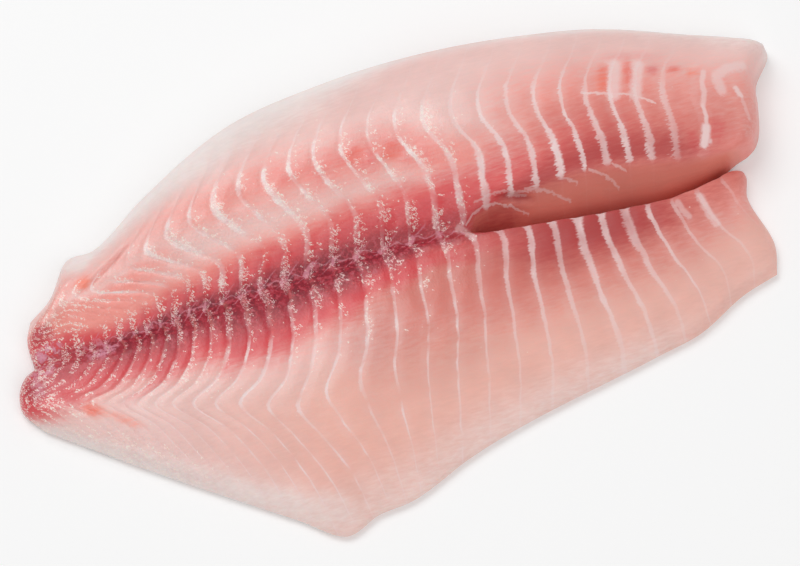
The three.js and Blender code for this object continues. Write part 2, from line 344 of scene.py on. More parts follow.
BELLY = LobeShape(
    side=-1,
    edge=Outline((
        (-98.5, -11.9), (-79, -27.2), (-46, -51.5), (-36.2, -58.6), (-27, -55.7), (-19.3, -54.9),
        (-2.2, -48.5), (50.2, -36.8), (61.3, -34.4), (75.4, -27.7), (84.7, -25),
    ), along_x=True),
    tail_end=Outline(((-96.8, 3.8), (-99.8, 2.5), (-102.5, -5.3), (-98.5, -11.9)), along_x=False),
    head_end=Outline(((82.5, 4.5), (85.9, 2.9), (84.6, -3), (86.7, -18.6), (84.7, -25)), along_x=False),
    rim_height=1.4,
    rim_radius=3.0,
    foot=(4, 4.5, 5.5, 6.5, 7, 7.5, 7.5, 7.5),
    shoulder=(5.5, 7, 8, 8.6, 8.6, 8.2, 7.8, 6.5),
    ridge=(5.5, 6.5, 7.5, 8, 7.8, 7.2, 6.6, 5.5),
    flank=(4, 4.5, 4.5, 4.6, 4.6, 4.4, 4.2, 3.8),
    shoulder_across=(0.3, 0.2, 0.13, 0.1, 0.06, 0.05, 0.05, 0.05),
    ridge_across=(0.6, 0.5, 0.45, 0.45, 0.45, 0.45, 0.45, 0.45),
    flank_across=0.88,
    chevrons=Chevrons(
        along=(0.15, 0.3, 0.42, 0.54, 0.66, 0.8, 0.95),
        across=(0, 0.05, 0.12, 0.28, 0.4, 0.5, 0.62, 0.76, 1),
        shift=(
            (0, 0, 0, 0, 0, 0, 0),
            (0.005, 0.002, -0.002, -0.003, 0.001, 0.005, 0.006),
            (0.01, 0.002, -0.002, -0.004, 0.001, -0.002, 0),
            (0.003, 0.001, -0.004, -0.002, -0.001, 0.005, 0.015),
            (-0.019, -0.021, -0.018, -0.003, -0.005, 0.011, 0.022),
            (-0.052, -0.054, -0.045, -0.014, -0.01, 0.01, 0.028),
            (-0.024, -0.024, -0.039, -0.029, -0.02, 0.012, 0.038),
            (-0.01, -0.004, -0.026, -0.043, -0.03, 0.014, 0.042),
            (0.015, 0.01, -0.018, -0.061, -0.05, 0.022, 0.048),
        ),
    ),
)


# ---------------------------------------------------------------- tones, spots and strands


class Tone(Enum):
    """Tones laid over the flesh's base colour, with the names of the mesh layers that hold them. The last is
    painted shade.
    """

    PEACH = "peach"
    CREAM = "cream"
    SALMON = "salmon"
    ROSE = "rose"
    BLOOD = "blood"
    PLUM = "plum"
    AMBER = "amber"
    LILAC = "lilac"
    WALL = "wall"
    # Painted shade in the cut's recesses, not a tone that the flesh has.
    RECESS_SHADE = "hollow"


SPOT_EDGE = (0.35, 1.25)


@dataclass(frozen=True)
class Spot:
    """A soft-edged oval of one tone, in plan, that may also be raised or sunk."""

    tone: Tone
    x: float
    y: float
    length: float
    width: float
    turn: float = 0.0
    amount: float = 0.6
    lift: float = 0.0

    def reach(self, x: np.ndarray, y: np.ndarray) -> np.ndarray:
        """How much of the spot there is at places in plan.

        Args:
            x: Places along X.
            y: Places along Y.

        Returns:
            1 in the spot's core, falling to 0 outside it.
        """
        cos, sin = math.cos(math.radians(self.turn)), math.sin(math.radians(self.turn))
        across, up = x - self.x, y - self.y
        far = np.hypot((across * cos + up * sin) / self.length, (up * cos - across * sin) / self.width)
        return fall(*SPOT_EDGE, far)


@dataclass(frozen=True)
class Strand:
    """A pale string of connective tissue through a few points in plan."""

    points: Points
    width: float
    amount: float = 1.0


SPOTS = (
    Spot(Tone.AMBER, -80.3, 20.2, 2.6, 1.6, 20, 0.8),
    Spot(Tone.AMBER, -85.6, -11.8, 3.4, 2.0, -30, 0.55),
    Spot(Tone.AMBER, -79.0, -16.4, 5.4, 1.3, -40, 0.4),
    Spot(Tone.CREAM, -79.5, 26.5, 5.0, 3.2, 35, 0.9),
    Spot(Tone.CREAM, -96.0, -12.6, 6.0, 1.8, -25, 0.5),
    Spot(Tone.CREAM, -57.0, -40.5, 7.0, 2.0, -38, 0.4),
    Spot(Tone.CREAM, -48.0, -46.2, 8.0, 3.4, -32, 0.5),
    Spot(Tone.CREAM, -38.5, -51.5, 7.0, 4.6, -25, 0.5),
    Spot(Tone.ROSE, -91.0, 14.0, 6.0, 5.0, 30, 0.35),
    Spot(Tone.BLOOD, -86.0, -11.6, 1.9, 1.4, -20, 0.5),
    Spot(Tone.BLOOD, -93.0, 10.0, 3.6, 4.2, 0, 0.7),
    Spot(Tone.PLUM, -93.0, 11.0, 3.6, 2.6, 30, 0.4),
    Spot(Tone.PLUM, -97.5, -3.0, 3.4, 3.6, 0, 0.4),
    Spot(Tone.BLOOD, -97.0, -3.0, 5.0, 7.0, 0, 0.8),
    Spot(Tone.LILAC, -93.0, 6.4, 5.0, 2.2, 20, 0.85),
    Spot(Tone.LILAC, -95.0, 1.4, 4.6, 1.8, 10, 0.6),
    Spot(Tone.LILAC, -79.8, 2.2, 4.6, 1.8, 10, 0.8),
    Spot(Tone.LILAC, -97.0, -2.5, 2.0, 3.0, 20, 0.3),
    Spot(Tone.ROSE, -73.5, 22.2, 10.0, 0.9, 31, 0.55, -0.4),
    Spot(Tone.BLOOD, -7.3, 30.5, 3.0, 2.2, 0, 0.45),
    Spot(Tone.AMBER, -7.3, 30.5, 3.4, 2.4, 0, 0.35),
    Spot(Tone.BLOOD, 1.4, 29.1, 3.0, 2.4, 0, 0.45),
    Spot(Tone.AMBER, 1.4, 29.1, 3.4, 2.6, 0, 0.35),
    Spot(Tone.AMBER, 57.3, 31.6, 2.2, 4.6, -12, 0.5),
    Spot(Tone.BLOOD, 57.6, 32.2, 1.6, 4.2, -12, 0.25),
    Spot(Tone.AMBER, 64.2, 31.2, 1.9, 4.6, -12, 0.3),
    Spot(Tone.BLOOD, 64.2, 31.4, 1.7, 4.4, -12, 0.4),
    Spot(Tone.BLOOD, 69.8, 31.0, 1.8, 1.8, -12, 0.4),
    Spot(Tone.AMBER, 75.0, 29.5, 2.2, 1.3, -12, 0.3),
    Spot(Tone.BLOOD, 75.0, 29.6, 1.8, 1.2, -12, 0.4),
    Spot(Tone.AMBER, 79.4, 27.2, 2.2, 1.4, -12, 0.45),
    Spot(Tone.BLOOD, 66.0, 36.4, 9.0, 1.9, -14, 0.14),
    Spot(Tone.ROSE, 80.5, 0.8, 6.0, 3.0, 15, 0.55),
    Spot(Tone.BLOOD, 80.6, 11.7, 2.2, 3.4, 0, 0.35),
    Spot(Tone.BLOOD, 73.9, 9.6, 1.6, 3.2, 0, 0.35),
    # Painted shade in the slit and in the pocket under it, which are also sunk.
    Spot(Tone.RECESS_SHADE, 27.6, 10.0, 5.0, 0.8, -14, 0.8, -1.0),
    Spot(Tone.RECESS_SHADE, 22.0, 7.0, 8.5, 3.4, 5, 0.6, -0.7),
)
STRANDS = (
    Strand(((51.6, 29.3), (57.7, 27.4), (63.4, 25.4), (67.6, 21.8)), 0.35, 0.6),
    Strand(((61.2, 35.0), (59.9, 31.0), (58.4, 26.9)), 1.9, 0.55),
    Strand(((66.9, 33.2), (65.0, 29.0), (63.4, 25.1)), 1.8, 0.55),
    Strand(((82.1, 26.9), (80.6, 24.1), (80.4, 21.5), (78.9, 18.2)), 0.8, 0.55),
    Strand(((78.9, 18.2), (78.8, 15.2), (77.9, 12.6)), 0.6, 0.7),
    Strand(((77.9, 12.6), (76.9, 10.2), (76.2, 8.9)), 1.3, 0.85),
    Strand(((76.2, 8.9), (77.6, 9.2)), 0.9, 0.6),
    Strand(((84.8, 20.9), (84.7, 24.9), (88.3, 26.6), (92.3, 26.4)), 1.5, 0.5),
    Strand(((38.9, 11.1), (40.7, 10.2), (43.3, 9.0)), 0.3, 0.35),
    Strand(((46.7, 10.5), (50.5, 8.4), (53.4, 6.0)), 0.3, 0.35),
    Strand(((52.8, 10.2), (55.6, 8.0)), 0.3, 0.35),
    Strand(((30.4, 10.9), (35.4, 9.6), (41.1, 6.5)), 0.3, 0.35),
    Strand(((66.2, -1.9), (66.6, -4.0), (67.6, -6.0)), 1.0, 0.4),
    Strand(((72.1, -1.9), (72.6, -5.6), (73.8, -9.3)), 1.2, 0.45),
    Strand(((12.4, 7.4), (14.0, 6.2), (14.9, 3.6)), 1.0, 0.35),
    Strand(((88.5, 20.7), (89.1, 18.3)), 0.7, 0.7),
    Strand(((89.1, 18.3), (89.3, 12.5)), 0.5, 0.3),
    Strand(((14.3, 7.7), (16.6, 9.5), (19.5, 10.5), (22.6, 10.5), (26.4, 9.4), (30.4, 7.0)), 0.2, 0.45),
    Strand(((17.6, 11.4), (20.7, 12.0), (25.4, 11.8), (31.1, 10.2)), 0.25, 0.35),
)


# ---------------------------------------------------------------- shader building


def srgb(code: str) -> Colour:
    """Colour for a shader socket.

    Args:
        code: Six-digit sRGB code.

    Returns:
        The colour as linear red, green, blue and alpha.
    """

    def linear(value: float) -> float:
        """Linear value of one sRGB channel."""
        return value / 12.92 if value <= 0.04045 else ((value + 0.055) / 1.055) ** 2.4

    red, green, blue = (int(code[i:i + 2], 16) / 255.0 for i in (0, 2, 4))
    return linear(red), linear(green), linear(blue), 1.0


class Graph:
    """Adds nodes to a node tree and links them as they are added."""

    def __init__(self, tree: Tree) -> None:
        """Takes over the tree of a material or of a node group."""
        self.tree = tree

    def add(self, kind: str, inputs: dict | None = None, **settings: object) -> bpy.types.Node:
        """Adds a node.

        Args:
            kind: Type of the node.
            inputs: Value or socket for each input, by its name or number.
            settings: Properties of the node.

        Returns:
            The node.
        """
        node = self.tree.nodes.new(kind)
        for name, value in settings.items():
            setattr(node, name, value)
        for name, value in (inputs or {}).items():
            self.set(node.inputs[name], value)
        return node

    def set(self, socket: Socket, value: object) -> None:
        """Sets an input to a value, or links it to a socket.

        Args:
            socket: The input.
            value: Number or colour to set, or socket to link.
        """
        if isinstance(value, Socket):
            self.tree.links.new(value, socket)
        else:
            socket.default_value = value

    def math(self, operation: str, *values: object, clamp: bool = False) -> Socket:
        """Result of a Math node on one to three values or sockets."""
        node = self.add("ShaderNodeMath", dict(enumerate(values)), operation=operation, use_clamp=clamp)
        return node.outputs[0]

    def times(self, first: object, second: object, clamp: bool = False) -> Socket:
        """Product of two values."""
        return self.math("MULTIPLY", first, second, clamp=clamp)

    def scaled(self, value: object, by: object, plus: object, clamp: bool = False) -> Socket:
        """A value times a second one, plus a third one."""
        return self.math("MULTIPLY_ADD", value, by, plus, clamp=clamp)

    def step(
        self, value: object, low: object, high: object, start: float = 0.0, end: float = 1.0
    ) -> Socket:
        """Smooth step of a value, from start where it is low to end where it is high."""
        inputs = {"Value": value, "From Min": low, "From Max": high, "To Min": start, "To Max": end}
        return self.add("ShaderNodeMapRange", inputs, interpolation_type="SMOOTHSTEP").outputs[0]

    def fall(self, value: object, low: object, high: object) -> Socket:
        """Smooth step of a value, from 1 where it is low to 0 where it is high."""
        return self.step(value, low, high, start=1.0, end=0.0)

    def mix(self, mask: object, first: object, second: object, amount: float | None = None) -> Socket:
        """Lays a colour over another.

        Args:
            mask: Where the second colour shows.
            first: Colour underneath.
            second: Colour on top.
            amount: How much of the second colour shows in the mask, if not all of it.

        Returns:
            The mixed colour.
        """
        if amount is not None:
            mask = self.times(mask, amount)
        return self.add("ShaderNodeMix", {0: mask, 6: first, 7: second}, data_type="RGBA").outputs[2]

    def vector(self, operation: str, *values: object, output: int = 0) -> Socket:
        """Result of a Vector Math node, which is a number where output is 1."""
        node = self.add("ShaderNodeVectorMath", dict(enumerate(values)), operation=operation)
        return node.outputs[output]

    def attribute(self, name: str) -> Socket:
        """A number stored on the mesh."""
        return self.add("ShaderNodeAttribute", attribute_name=name).outputs["Fac"]

    def grain(self, along: float, across: float, seed: float = 0.0, turn: float = 0.0) -> Socket:
        """Places in the flesh, for a texture that runs along the fish.

        Args:
            along: Steps for each millimetre along the fish.
            across: Steps for each millimetre across it, and up.
            seed: Shift that picks the pattern.
            turn: Angle in degrees by which the texture's run is turned in plan.

        Returns:
            The vector for the texture.
        """
        place = self.add("ShaderNodeTexCoord").outputs["Object"]
        if turn:
            place = self.add("ShaderNodeVectorRotate", {0: place, "Angle": -math.radians(turn)}).outputs[0]
        inputs = {0: place, "Scale": (along / MM, across / MM, across / MM), "Location": (seed, seed, seed)}
        return self.add("ShaderNodeMapping", inputs).outputs[0]

    def noise(
        self, vector: object, detail: float = 2.0, roughness: float = 0.5, distortion: float = 0.0
    ) -> Socket:
        """Noise around a half, read at the places that a vector gives."""
        inputs = {"Vector": vector, "Scale": 1.0, "Detail": detail, "Roughness": roughness}
        return self.add("ShaderNodeTexNoise", inputs | {"Distortion": distortion}).outputs[0]

    def output(self, values: dict[str, object]) -> None:
        """Links the outputs of a node group.

        Args:
            values: Socket that feeds each output, by the output's name.
        """
        node = self.add("NodeGroupOutput")
        for name, value in values.items():
            self.tree.links.new(value, node.inputs[name])

    def use(self, group: Tree, inputs: dict | None = None) -> bpy.types.NodeOutputs:
        """Outputs of a node group that is used with the inputs given."""
        return self.add("ShaderNodeGroup", inputs, node_tree=group).outputs

    def point(self, x: object, y: object) -> Socket:
        """Vector of a place in plan."""
        return self.add("ShaderNodeCombineXYZ", {0: x, 1: y}).outputs[0]

    def bump(self, height: object) -> Socket:
        """Normal of a surface raised by a height in millimetres."""
        return self.add("ShaderNodeBump", {"Strength": 1.0, "Distance": MM, "Height": height}).outputs[0]


def new_group(name: str, inputs: dict[str, float], outputs: tuple[str, ...]) -> Tree:
    """Empty shader node group of numbers.

    Args:
        name: Name of the group.
        inputs: Name and default value of each input.
        outputs: Names of the outputs.

    Returns:
        The group's tree.
    """
    tree = bpy.data.node_groups.new(name, "ShaderNodeTree")
    for label, default in inputs.items():
        socket = tree.interface.new_socket(label, in_out="INPUT", socket_type="NodeSocketFloat")
        socket.default_value = default
    for label in outputs:
        tree.interface.new_socket(label, in_out="OUTPUT", socket_type="NodeSocketFloat")
    return tree


def sheet_lines_group() -> Tree:
    """Group for the pale sheets between the flakes, with feathered edges.

    Returns:
        The group's tree. Its Line is 1 on a sheet. Its Halo is 1 there and fades far into the flakes. Its
        Ahead runs from 0 at the sheet that a flake starts from to 1 at the next one.
    """
    tree = new_group("sheet_lines", {"Width": 0.1, "Feather": 0.1}, ("Line", "Halo", "Ahead"))
    graph = Graph(tree)
    given = graph.add("NodeGroupInput").outputs
    barbs = graph.noise(graph.grain(0.6, 2.4, seed=3.0), detail=1.0, roughness=0.7)
    phase = graph.attribute("flake")
    ahead = graph.math("FRACT", phase)
    tail_side = graph.math("GREATER_THAN", ahead, 0.5)
    nearest = graph.math("FRACT", graph.math("ADD", phase, 0.5))
    offset = graph.math("ABSOLUTE", graph.math("SUBTRACT", nearest, 0.5))
    ragged = graph.times(graph.math("SUBTRACT", barbs, 0.5), given["Feather"])
    ragged = graph.times(ragged, graph.scaled(tail_side, 1.2, 0.8))
    core = graph.times(given["Width"], 0.5)
    rim = graph.times(given["Width"], 1.2)
    line = graph.fall(graph.math("ADD", offset, ragged), core, rim)
    graph.output({"Line": line, "Halo": graph.fall(offset, 0.0, 0.4), "Ahead": ahead})
    return tree


def flesh_grain_group() -> Tree:
    """Group for the run of the muscle fibres and for ragged tears.

    Returns:
        The group's tree. Its Fibres and Fray are noises around a half.
    """
    tree = new_group("flesh_grain", {}, ("Fibres", "Fray"))
    graph = Graph(tree)
    fibres = graph.noise(graph.grain(0.28, 1.3), roughness=0.65)
    fray = graph.noise(graph.grain(0.8, 0.8, seed=13.0), roughness=0.7)
    graph.output({"Fibres": fibres, "Fray": fray})
    return tree


def ragged_group() -> Tree:
    """Group that makes the soft edge of a mask follow a noise.

    Returns:
        The group's tree. Its Mask is the one given, with the full and the empty parts left alone.
    """
    tree = new_group("ragged_edge", {"Mask": 0.0, "Noise": 0.5, "Strength": 1.0}, ("Mask",))
    graph = Graph(tree)
    given = graph.add("NodeGroupInput").outputs
    edge = graph.times(given["Mask"], graph.math("SUBTRACT", 1.0, given["Mask"]))
    shift = graph.times(graph.math("SUBTRACT", given["Noise"], 0.5), given["Strength"])
    shift = graph.times(graph.times(edge, 4.0), shift)
    graph.output({"Mask": graph.math("ADD", given["Mask"], shift, clamp=True)})
    return tree


PUCKER_SEED = 9.0


def wet_glints_group() -> Tree:
    """Group for the small worms of light on the wet, puckered flesh.

    Returns:
        The group's tree. Its Density is how closely they lie, and its Glints is 1 on them.
    """
    tree = new_group("wet_glints", {"Density": 0.5}, ("Glints",))
    graph = Graph(tree)
    given = graph.add("NodeGroupInput").outputs
    swell = graph.noise(
        graph.grain(1.0, 2.1, seed=PUCKER_SEED, turn=-50.0), detail=1.0, roughness=0.6, distortion=0.6
    )
    crest = graph.math("ABSOLUTE", graph.math("SUBTRACT", swell, 0.54))
    worm = graph.fall(crest, 0.02, 0.07)
    patches = graph.noise(graph.grain(0.9, 0.9, seed=21.0), detail=1.0)
    low = graph.scaled(given["Density"], -0.4, 0.78)
    there = graph.step(patches, low, graph.math("ADD", low, 0.07))
    graph.output({"Glints": graph.times(worm, there)})
    return tree


STRING_CORE = 0.05


def seam_braid_group() -> Tree:
    """Group for the strings of connective tissue that are knotted along the seam at each sheet.

    Returns:
        The group's tree. Its Strings and Knots are 1 on each.
    """
    tree = new_group("seam_braid", {"Fray": 0.5}, ("Strings", "Knots"))
    graph = Graph(tree)
    fray = graph.add("NodeGroupInput").outputs["Fray"]
    sway = graph.attribute("sway")
    phase = graph.scaled(sway, 0.25, graph.attribute("flake"))
    away = graph.scaled(sway, 2.0, graph.attribute("from_seam"))
    away = graph.math("ADD", away, graph.scaled(fray, 1.0, -0.5))
    past = graph.math("FRACT", phase)
    arc = graph.math("SINE", graph.times(past, math.pi))

    def string(share: object, swing: float, thickness: float) -> Socket:
        """String that lies a share of its swing away from the seam."""
        off = graph.math("ABSOLUTE", graph.scaled(share, swing, away))
        return graph.fall(off, STRING_CORE, thickness)

    rope = string(arc, swing=-0.8, thickness=0.32)
    ahead = graph.times(string(past, swing=-5.0, thickness=0.36), graph.fall(past, 0.35, 0.7))
    behind = string(graph.math("SUBTRACT", 1.0, past), swing=5.0, thickness=0.34)
    behind = graph.times(behind, graph.step(past, 0.4, 0.7))
    strings = graph.math("MAXIMUM", rope, graph.math("MAXIMUM", ahead, behind))
    lapse = graph.step(fray, 0.3, 0.55, start=0.35)
    near = graph.math("SUBTRACT", 1.0, arc)
    knot = graph.fall(graph.math("ABSOLUTE", away), 0.3, 1.8)
    knot = graph.times(knot, graph.step(near, 0.45, 0.95))
    knot = graph.step(graph.times(knot, graph.scaled(fray, 1.4, 0.3)), 0.25, 0.75)
    graph.output({"Strings": graph.times(strings, lapse), "Knots": knot})
    return tree


def strand_group() -> Tree:
    """Group for one straight stretch of a pale strand between two points in plan.

    Returns:
        The group's tree. Its Mask is 1 on the strand.
    """
    labels = {"Start X": 0.0, "Start Y": 0.0, "End X": 1.0, "End Y": 0.0, "Width": 0.5, "Fray": 0.5}
    tree = new_group("strand_stretch", labels, ("Mask",))
    graph = Graph(tree)
    given = graph.add("NodeGroupInput").outputs
    place = graph.add("ShaderNodeTexCoord").outputs["Object"]
    place = graph.vector("MULTIPLY", place, (1.0 / MM, 1.0 / MM, 0.0))
    slip = graph.scaled(given["Fray"], 0.9, -0.45)
    place = graph.vector("ADD", place, graph.point(slip, slip))
    start = graph.point(given["Start X"], given["Start Y"])
    run = graph.vector("SUBTRACT", graph.point(given["End X"], given["End Y"]), start)
    from_start = graph.vector("SUBTRACT", place, start)
    done = graph.vector("DOT_PRODUCT", from_start, run, output=1)
    share = graph.math("DIVIDE", done, graph.vector("DOT_PRODUCT", run, run, output=1), clamp=True)
    nearest = graph.vector("MULTIPLY", run, graph.point(share, share))
    far = graph.vector("LENGTH", graph.vector("SUBTRACT", from_start, nearest), output=1)
    width = graph.times(given["Width"], graph.scaled(given["Fray"], 1.2, 0.6))
    core, rim = graph.times(width, 0.35), graph.times(width, 1.05)
    graph.output({"Mask": graph.fall(far, core, rim)})
    return tree


@dataclass(frozen=True)
class Weave:
    """The node groups that the finishes share."""

    lines: Tree
    grain: Tree
    ragged: Tree
    glints: Tree
    braid: Tree
    strand: Tree

    @classmethod
    def new(cls) -> "Weave":
        """Builds the groups.

        Returns:
            The groups, in the order of the fields.
        """
        return cls(
            sheet_lines_group(), flesh_grain_group(), ragged_group(),
            wet_glints_group(), seam_braid_group(), strand_group(),
        )


SCATTER_RADIUS = (0.004, 0.0016, 0.0012)


def new_flesh(name: str, scatter: float) -> tuple[bpy.types.Material, Graph, bpy.types.NodeInputs]:
    """Starts a material that lets some light through, as raw flesh does.

    Args:
        name: Name of the material.
        scatter: Share of the light that is scattered inside the flesh.

    Returns:
        The material, its graph, and the inputs of its surface.
    """
    material = bpy.data.materials.new(name)
    material.use_nodes = True
    surface = material.node_tree.nodes["Principled BSDF"].inputs
    surface["Subsurface Weight"].default_value = scatter
    surface["Subsurface Radius"].default_value = SCATTER_RADIUS
    surface["Subsurface Scale"].default_value = 1.0
    return material, Graph(material.node_tree), surface


class FleshMasks:
    """Masks that the steps of the cut side's finish share."""

    def __init__(self, graph: Graph, weave: Weave) -> None:
        """Adds the masks to a material.

        Args:
            graph: Graph of the material.
            weave: Node groups shared by the finishes.
        """
        self.graph = graph
        self.weave = weave
        grain = graph.use(weave.grain)
        self.fibres, self.fray = grain["Fibres"], grain["Fray"]
        width = graph.attribute("sheet_width")
        inputs = {"Width": width, "Feather": graph.times(width, graph.attribute("feather"))}
        self.sheets = graph.use(weave.lines, inputs)
        self.shown = graph.attribute("sheet")
        self.wet = graph.attribute("wet")
        self.plum = self.tone(Tone.PLUM, 1.6)

    def tone(self, which: Tone, strength: float = 0.7) -> Socket:
        """Mask of one tone, with a ragged edge.

        Args:
            which: The tone.
            strength: How ragged the edge is.

        Returns:
            The mask.
        """
        grit = self.fray if which is Tone.PLUM else self.fibres
        inputs = {"Mask": self.graph.attribute(which.value), "Noise": grit, "Strength": strength}
        return self.graph.use(self.weave.ragged, inputs)["Mask"]

    def strands(self) -> Socket:
        """Mask of all the pale strands, swayed by a noise.

        Returns:
            The mask.
        """
        total = None
        for strand in STRANDS:
            for start, end in zip(strand.points, strand.points[1:]):
                inputs = {"Start X": start[0], "Start Y": start[1], "End X": end[0], "End Y": end[1]}
                inputs |= {"Width": strand.width, "Fray": self.fray}
                mask = self.graph.times(self.graph.use(self.weave.strand, inputs)["Mask"], strand.amount)
                total = mask if total is None else self.graph.math("MAXIMUM", total, mask)
        return total


@dataclass(frozen=True)
class CutFlesh:
    """Finish of the cut side: raw flesh, wet, with its dark seam and pale sheets."""

    blush: Colour = srgb("F4CCC6")
    peach: Colour = srgb("F4BAAC")
    cream: Colour = srgb("F6E6E2")
    salmon: Colour = srgb("FDA095")
    rose: Colour = srgb("DC7E72")
    blood: Colour = srgb("E0444C")
    plum: Colour = srgb("B02E3E")
    amber: Colour = srgb("FF7D5E")
    lilac: Colour = srgb("E29EB2")
    wall: Colour = srgb("EA8979")
    # Painted shade: the darker red of the cut's recesses.
    hollow: Colour = srgb("B64242")
    # Painted shade: the darker wine of the gaps in the seam band.
    gap_shade: Colour = srgb("7A1C2C")
    sheet: Colour = srgb("F8DEDC")
    seam_sheet: Colour = srgb("D88490")
    string: Colour = srgb("E292A2")
    glint: Colour = srgb("FFECE2")
    scatter: float = 0.2
    roughness: float = 0.42
    coat_roughness: float = 0.16
    refraction: float = 1.4

    def material(self, weave: Weave) -> bpy.types.Material:
        """Builds the material.

        Args:
            weave: Node groups shared by the finishes.

        Returns:
            The material.
        """
        material, graph, surface = new_flesh("cut_flesh", self.scatter)
        masks = FleshMasks(graph, weave)
        colour = self.shaded(masks, self.stained(masks))
        colour = self.glinting(masks, self.laced(masks, colour))
        graph.set(surface["Base Color"], colour)
        surface["Coat Roughness"].default_value = self.coat_roughness
        surface["Roughness"].default_value = self.roughness
        surface["IOR"].default_value = self.refraction
        coat = graph.scaled(masks.wet, 0.6, 0.15, clamp=True)
        bare = graph.scaled(graph.attribute(Tone.PLUM.value), -0.8, 1.0)
        graph.set(surface["Coat Weight"], graph.times(coat, bare))
        graph.set(surface["Normal"], self.puckered(masks))
        return material

    def stained(self, masks: FleshMasks) -> Socket:
        """Lays the tones of the flesh over each other, with painted shade in the gaps of the seam band and in
        the cut's recesses.

        Args:
            masks: Masks of the material.

        Returns:
            The colour.
        """
        graph = masks.graph
        colour = graph.mix(graph.attribute(Tone.PEACH.value), self.blush, self.peach)
        for tone, paint in ((Tone.CREAM, self.cream), (Tone.SALMON, self.salmon), (Tone.ROSE, self.rose)):
            colour = graph.mix(masks.tone(tone), colour, paint)
        halo = graph.times(masks.sheets["Halo"], masks.shown)
        colour = graph.mix(halo, colour, self.blush, 0.35)
        colour = graph.mix(masks.tone(Tone.BLOOD), colour, self.blood)
        colour = graph.mix(masks.plum, colour, self.plum)
        # Painted shade: darker wine in the ragged gaps of the dark seam band.
        gaps = graph.times(masks.plum, graph.step(masks.fray, 0.58, 0.45))
        colour = graph.mix(gaps, colour, self.gap_shade, 0.85)
        film = graph.times(masks.plum, graph.step(masks.fray, 0.54, 0.66))
        colour = graph.mix(film, colour, self.string, 0.2)
        colour = graph.mix(masks.tone(Tone.AMBER), colour, self.amber)
        colour = graph.mix(graph.attribute(Tone.WALL.value), colour, self.wall)
        # Painted shade in a darker red over and under the cut's wall and beside it on the flap.
        return graph.mix(masks.tone(Tone.RECESS_SHADE), colour, self.hollow)

    def shaded(self, masks: FleshMasks, colour: Socket) -> Socket:
        """Paints shade into the cupped flakes and a highlight on their raised lips, and lets the flesh vary
        with its fibres.

        Args:
            masks: Masks of the material.
            colour: Colour so far.

        Returns:
            The colour.
        """
        graph = masks.graph
        cup = graph.attribute("cup")
        # Painted shade in each cupped flake, deepening towards the next flake's lip.
        hollow = graph.times(cup, graph.step(masks.sheets["Ahead"], 0.35, 0.98), clamp=True)
        colour = graph.mix(hollow, colour, self.plum, 0.7)
        # Painted highlight: a paler salmon on the raised lip at the start of each cupped flake.
        lip = graph.times(cup, graph.fall(masks.sheets["Ahead"], 0.04, 0.3), clamp=True)
        colour = graph.mix(lip, colour, self.salmon, 0.25)
        light = graph.scaled(graph.attribute("blotch"), 0.05, graph.scaled(masks.fibres, 0.12, 0.94))
        return graph.add("ShaderNodeHueSaturation", {"Value": light, "Color": colour}).outputs[0]

    def laced(self, masks: FleshMasks, colour: Socket) -> Socket:
        """Lays the film, the sheets, the seam's strings and the strands over the flesh.

        Args:
            masks: Masks of the material.
            colour: Colour so far.

        Returns:
            The colour.
        """
        graph = masks.graph
        film = graph.times(graph.attribute(Tone.LILAC.value), graph.step(masks.fray, 0.38, 0.58))
        colour = graph.mix(film, colour, self.lilac)
        pale = graph.mix(graph.attribute(Tone.PLUM.value), self.sheet, self.seam_sheet)
        colour = graph.mix(graph.times(masks.sheets["Line"], masks.shown, clamp=True), colour, pale)
        braid = graph.use(masks.weave.braid, {"Fray": masks.fray})
        strings = graph.math("MAXIMUM", graph.times(braid["Strings"], 0.8), braid["Knots"])
        colour = graph.mix(graph.times(strings, graph.attribute("braid")), colour, self.string, 0.7)
        return graph.mix(masks.strands(), colour, self.sheet)

    def glinting(self, masks: FleshMasks, colour: Socket) -> Socket:
        """Lays the small worms of light over the wet flesh.

        Args:
            masks: Masks of the material.
            colour: Colour so far.

        Returns:
            The colour.
        """
        graph = masks.graph
        beside = graph.step(masks.sheets["Ahead"], 0.1, 0.55, start=1.0, end=0.3)
        density = graph.times(masks.wet, graph.math("MAXIMUM", beside, masks.sheets["Line"]))
        glints = graph.use(masks.weave.glints, {"Density": density})["Glints"]
        glint = graph.mix(masks.plum, self.glint, self.string, 0.5)
        return graph.mix(glints, colour, glint, 0.9)

    def puckered(self, masks: FleshMasks) -> Socket:
        """Raises the wet flesh in small worms, and all of it in fine fibres.

        Args:
            masks: Masks of the material.

        Returns:
            The normal.
        """
        graph = masks.graph
        pucker = graph.noise(graph.grain(1.3, 1.1, seed=PUCKER_SEED), detail=1.0, roughness=0.6)
        worms = graph.times(graph.times(pucker, graph.math("MINIMUM", masks.wet, 1.0)), 0.3)
        fibres = graph.noise(graph.grain(0.3, 1.5), detail=1.0)
        return graph.bump(graph.scaled(fibres, 0.05, worms))


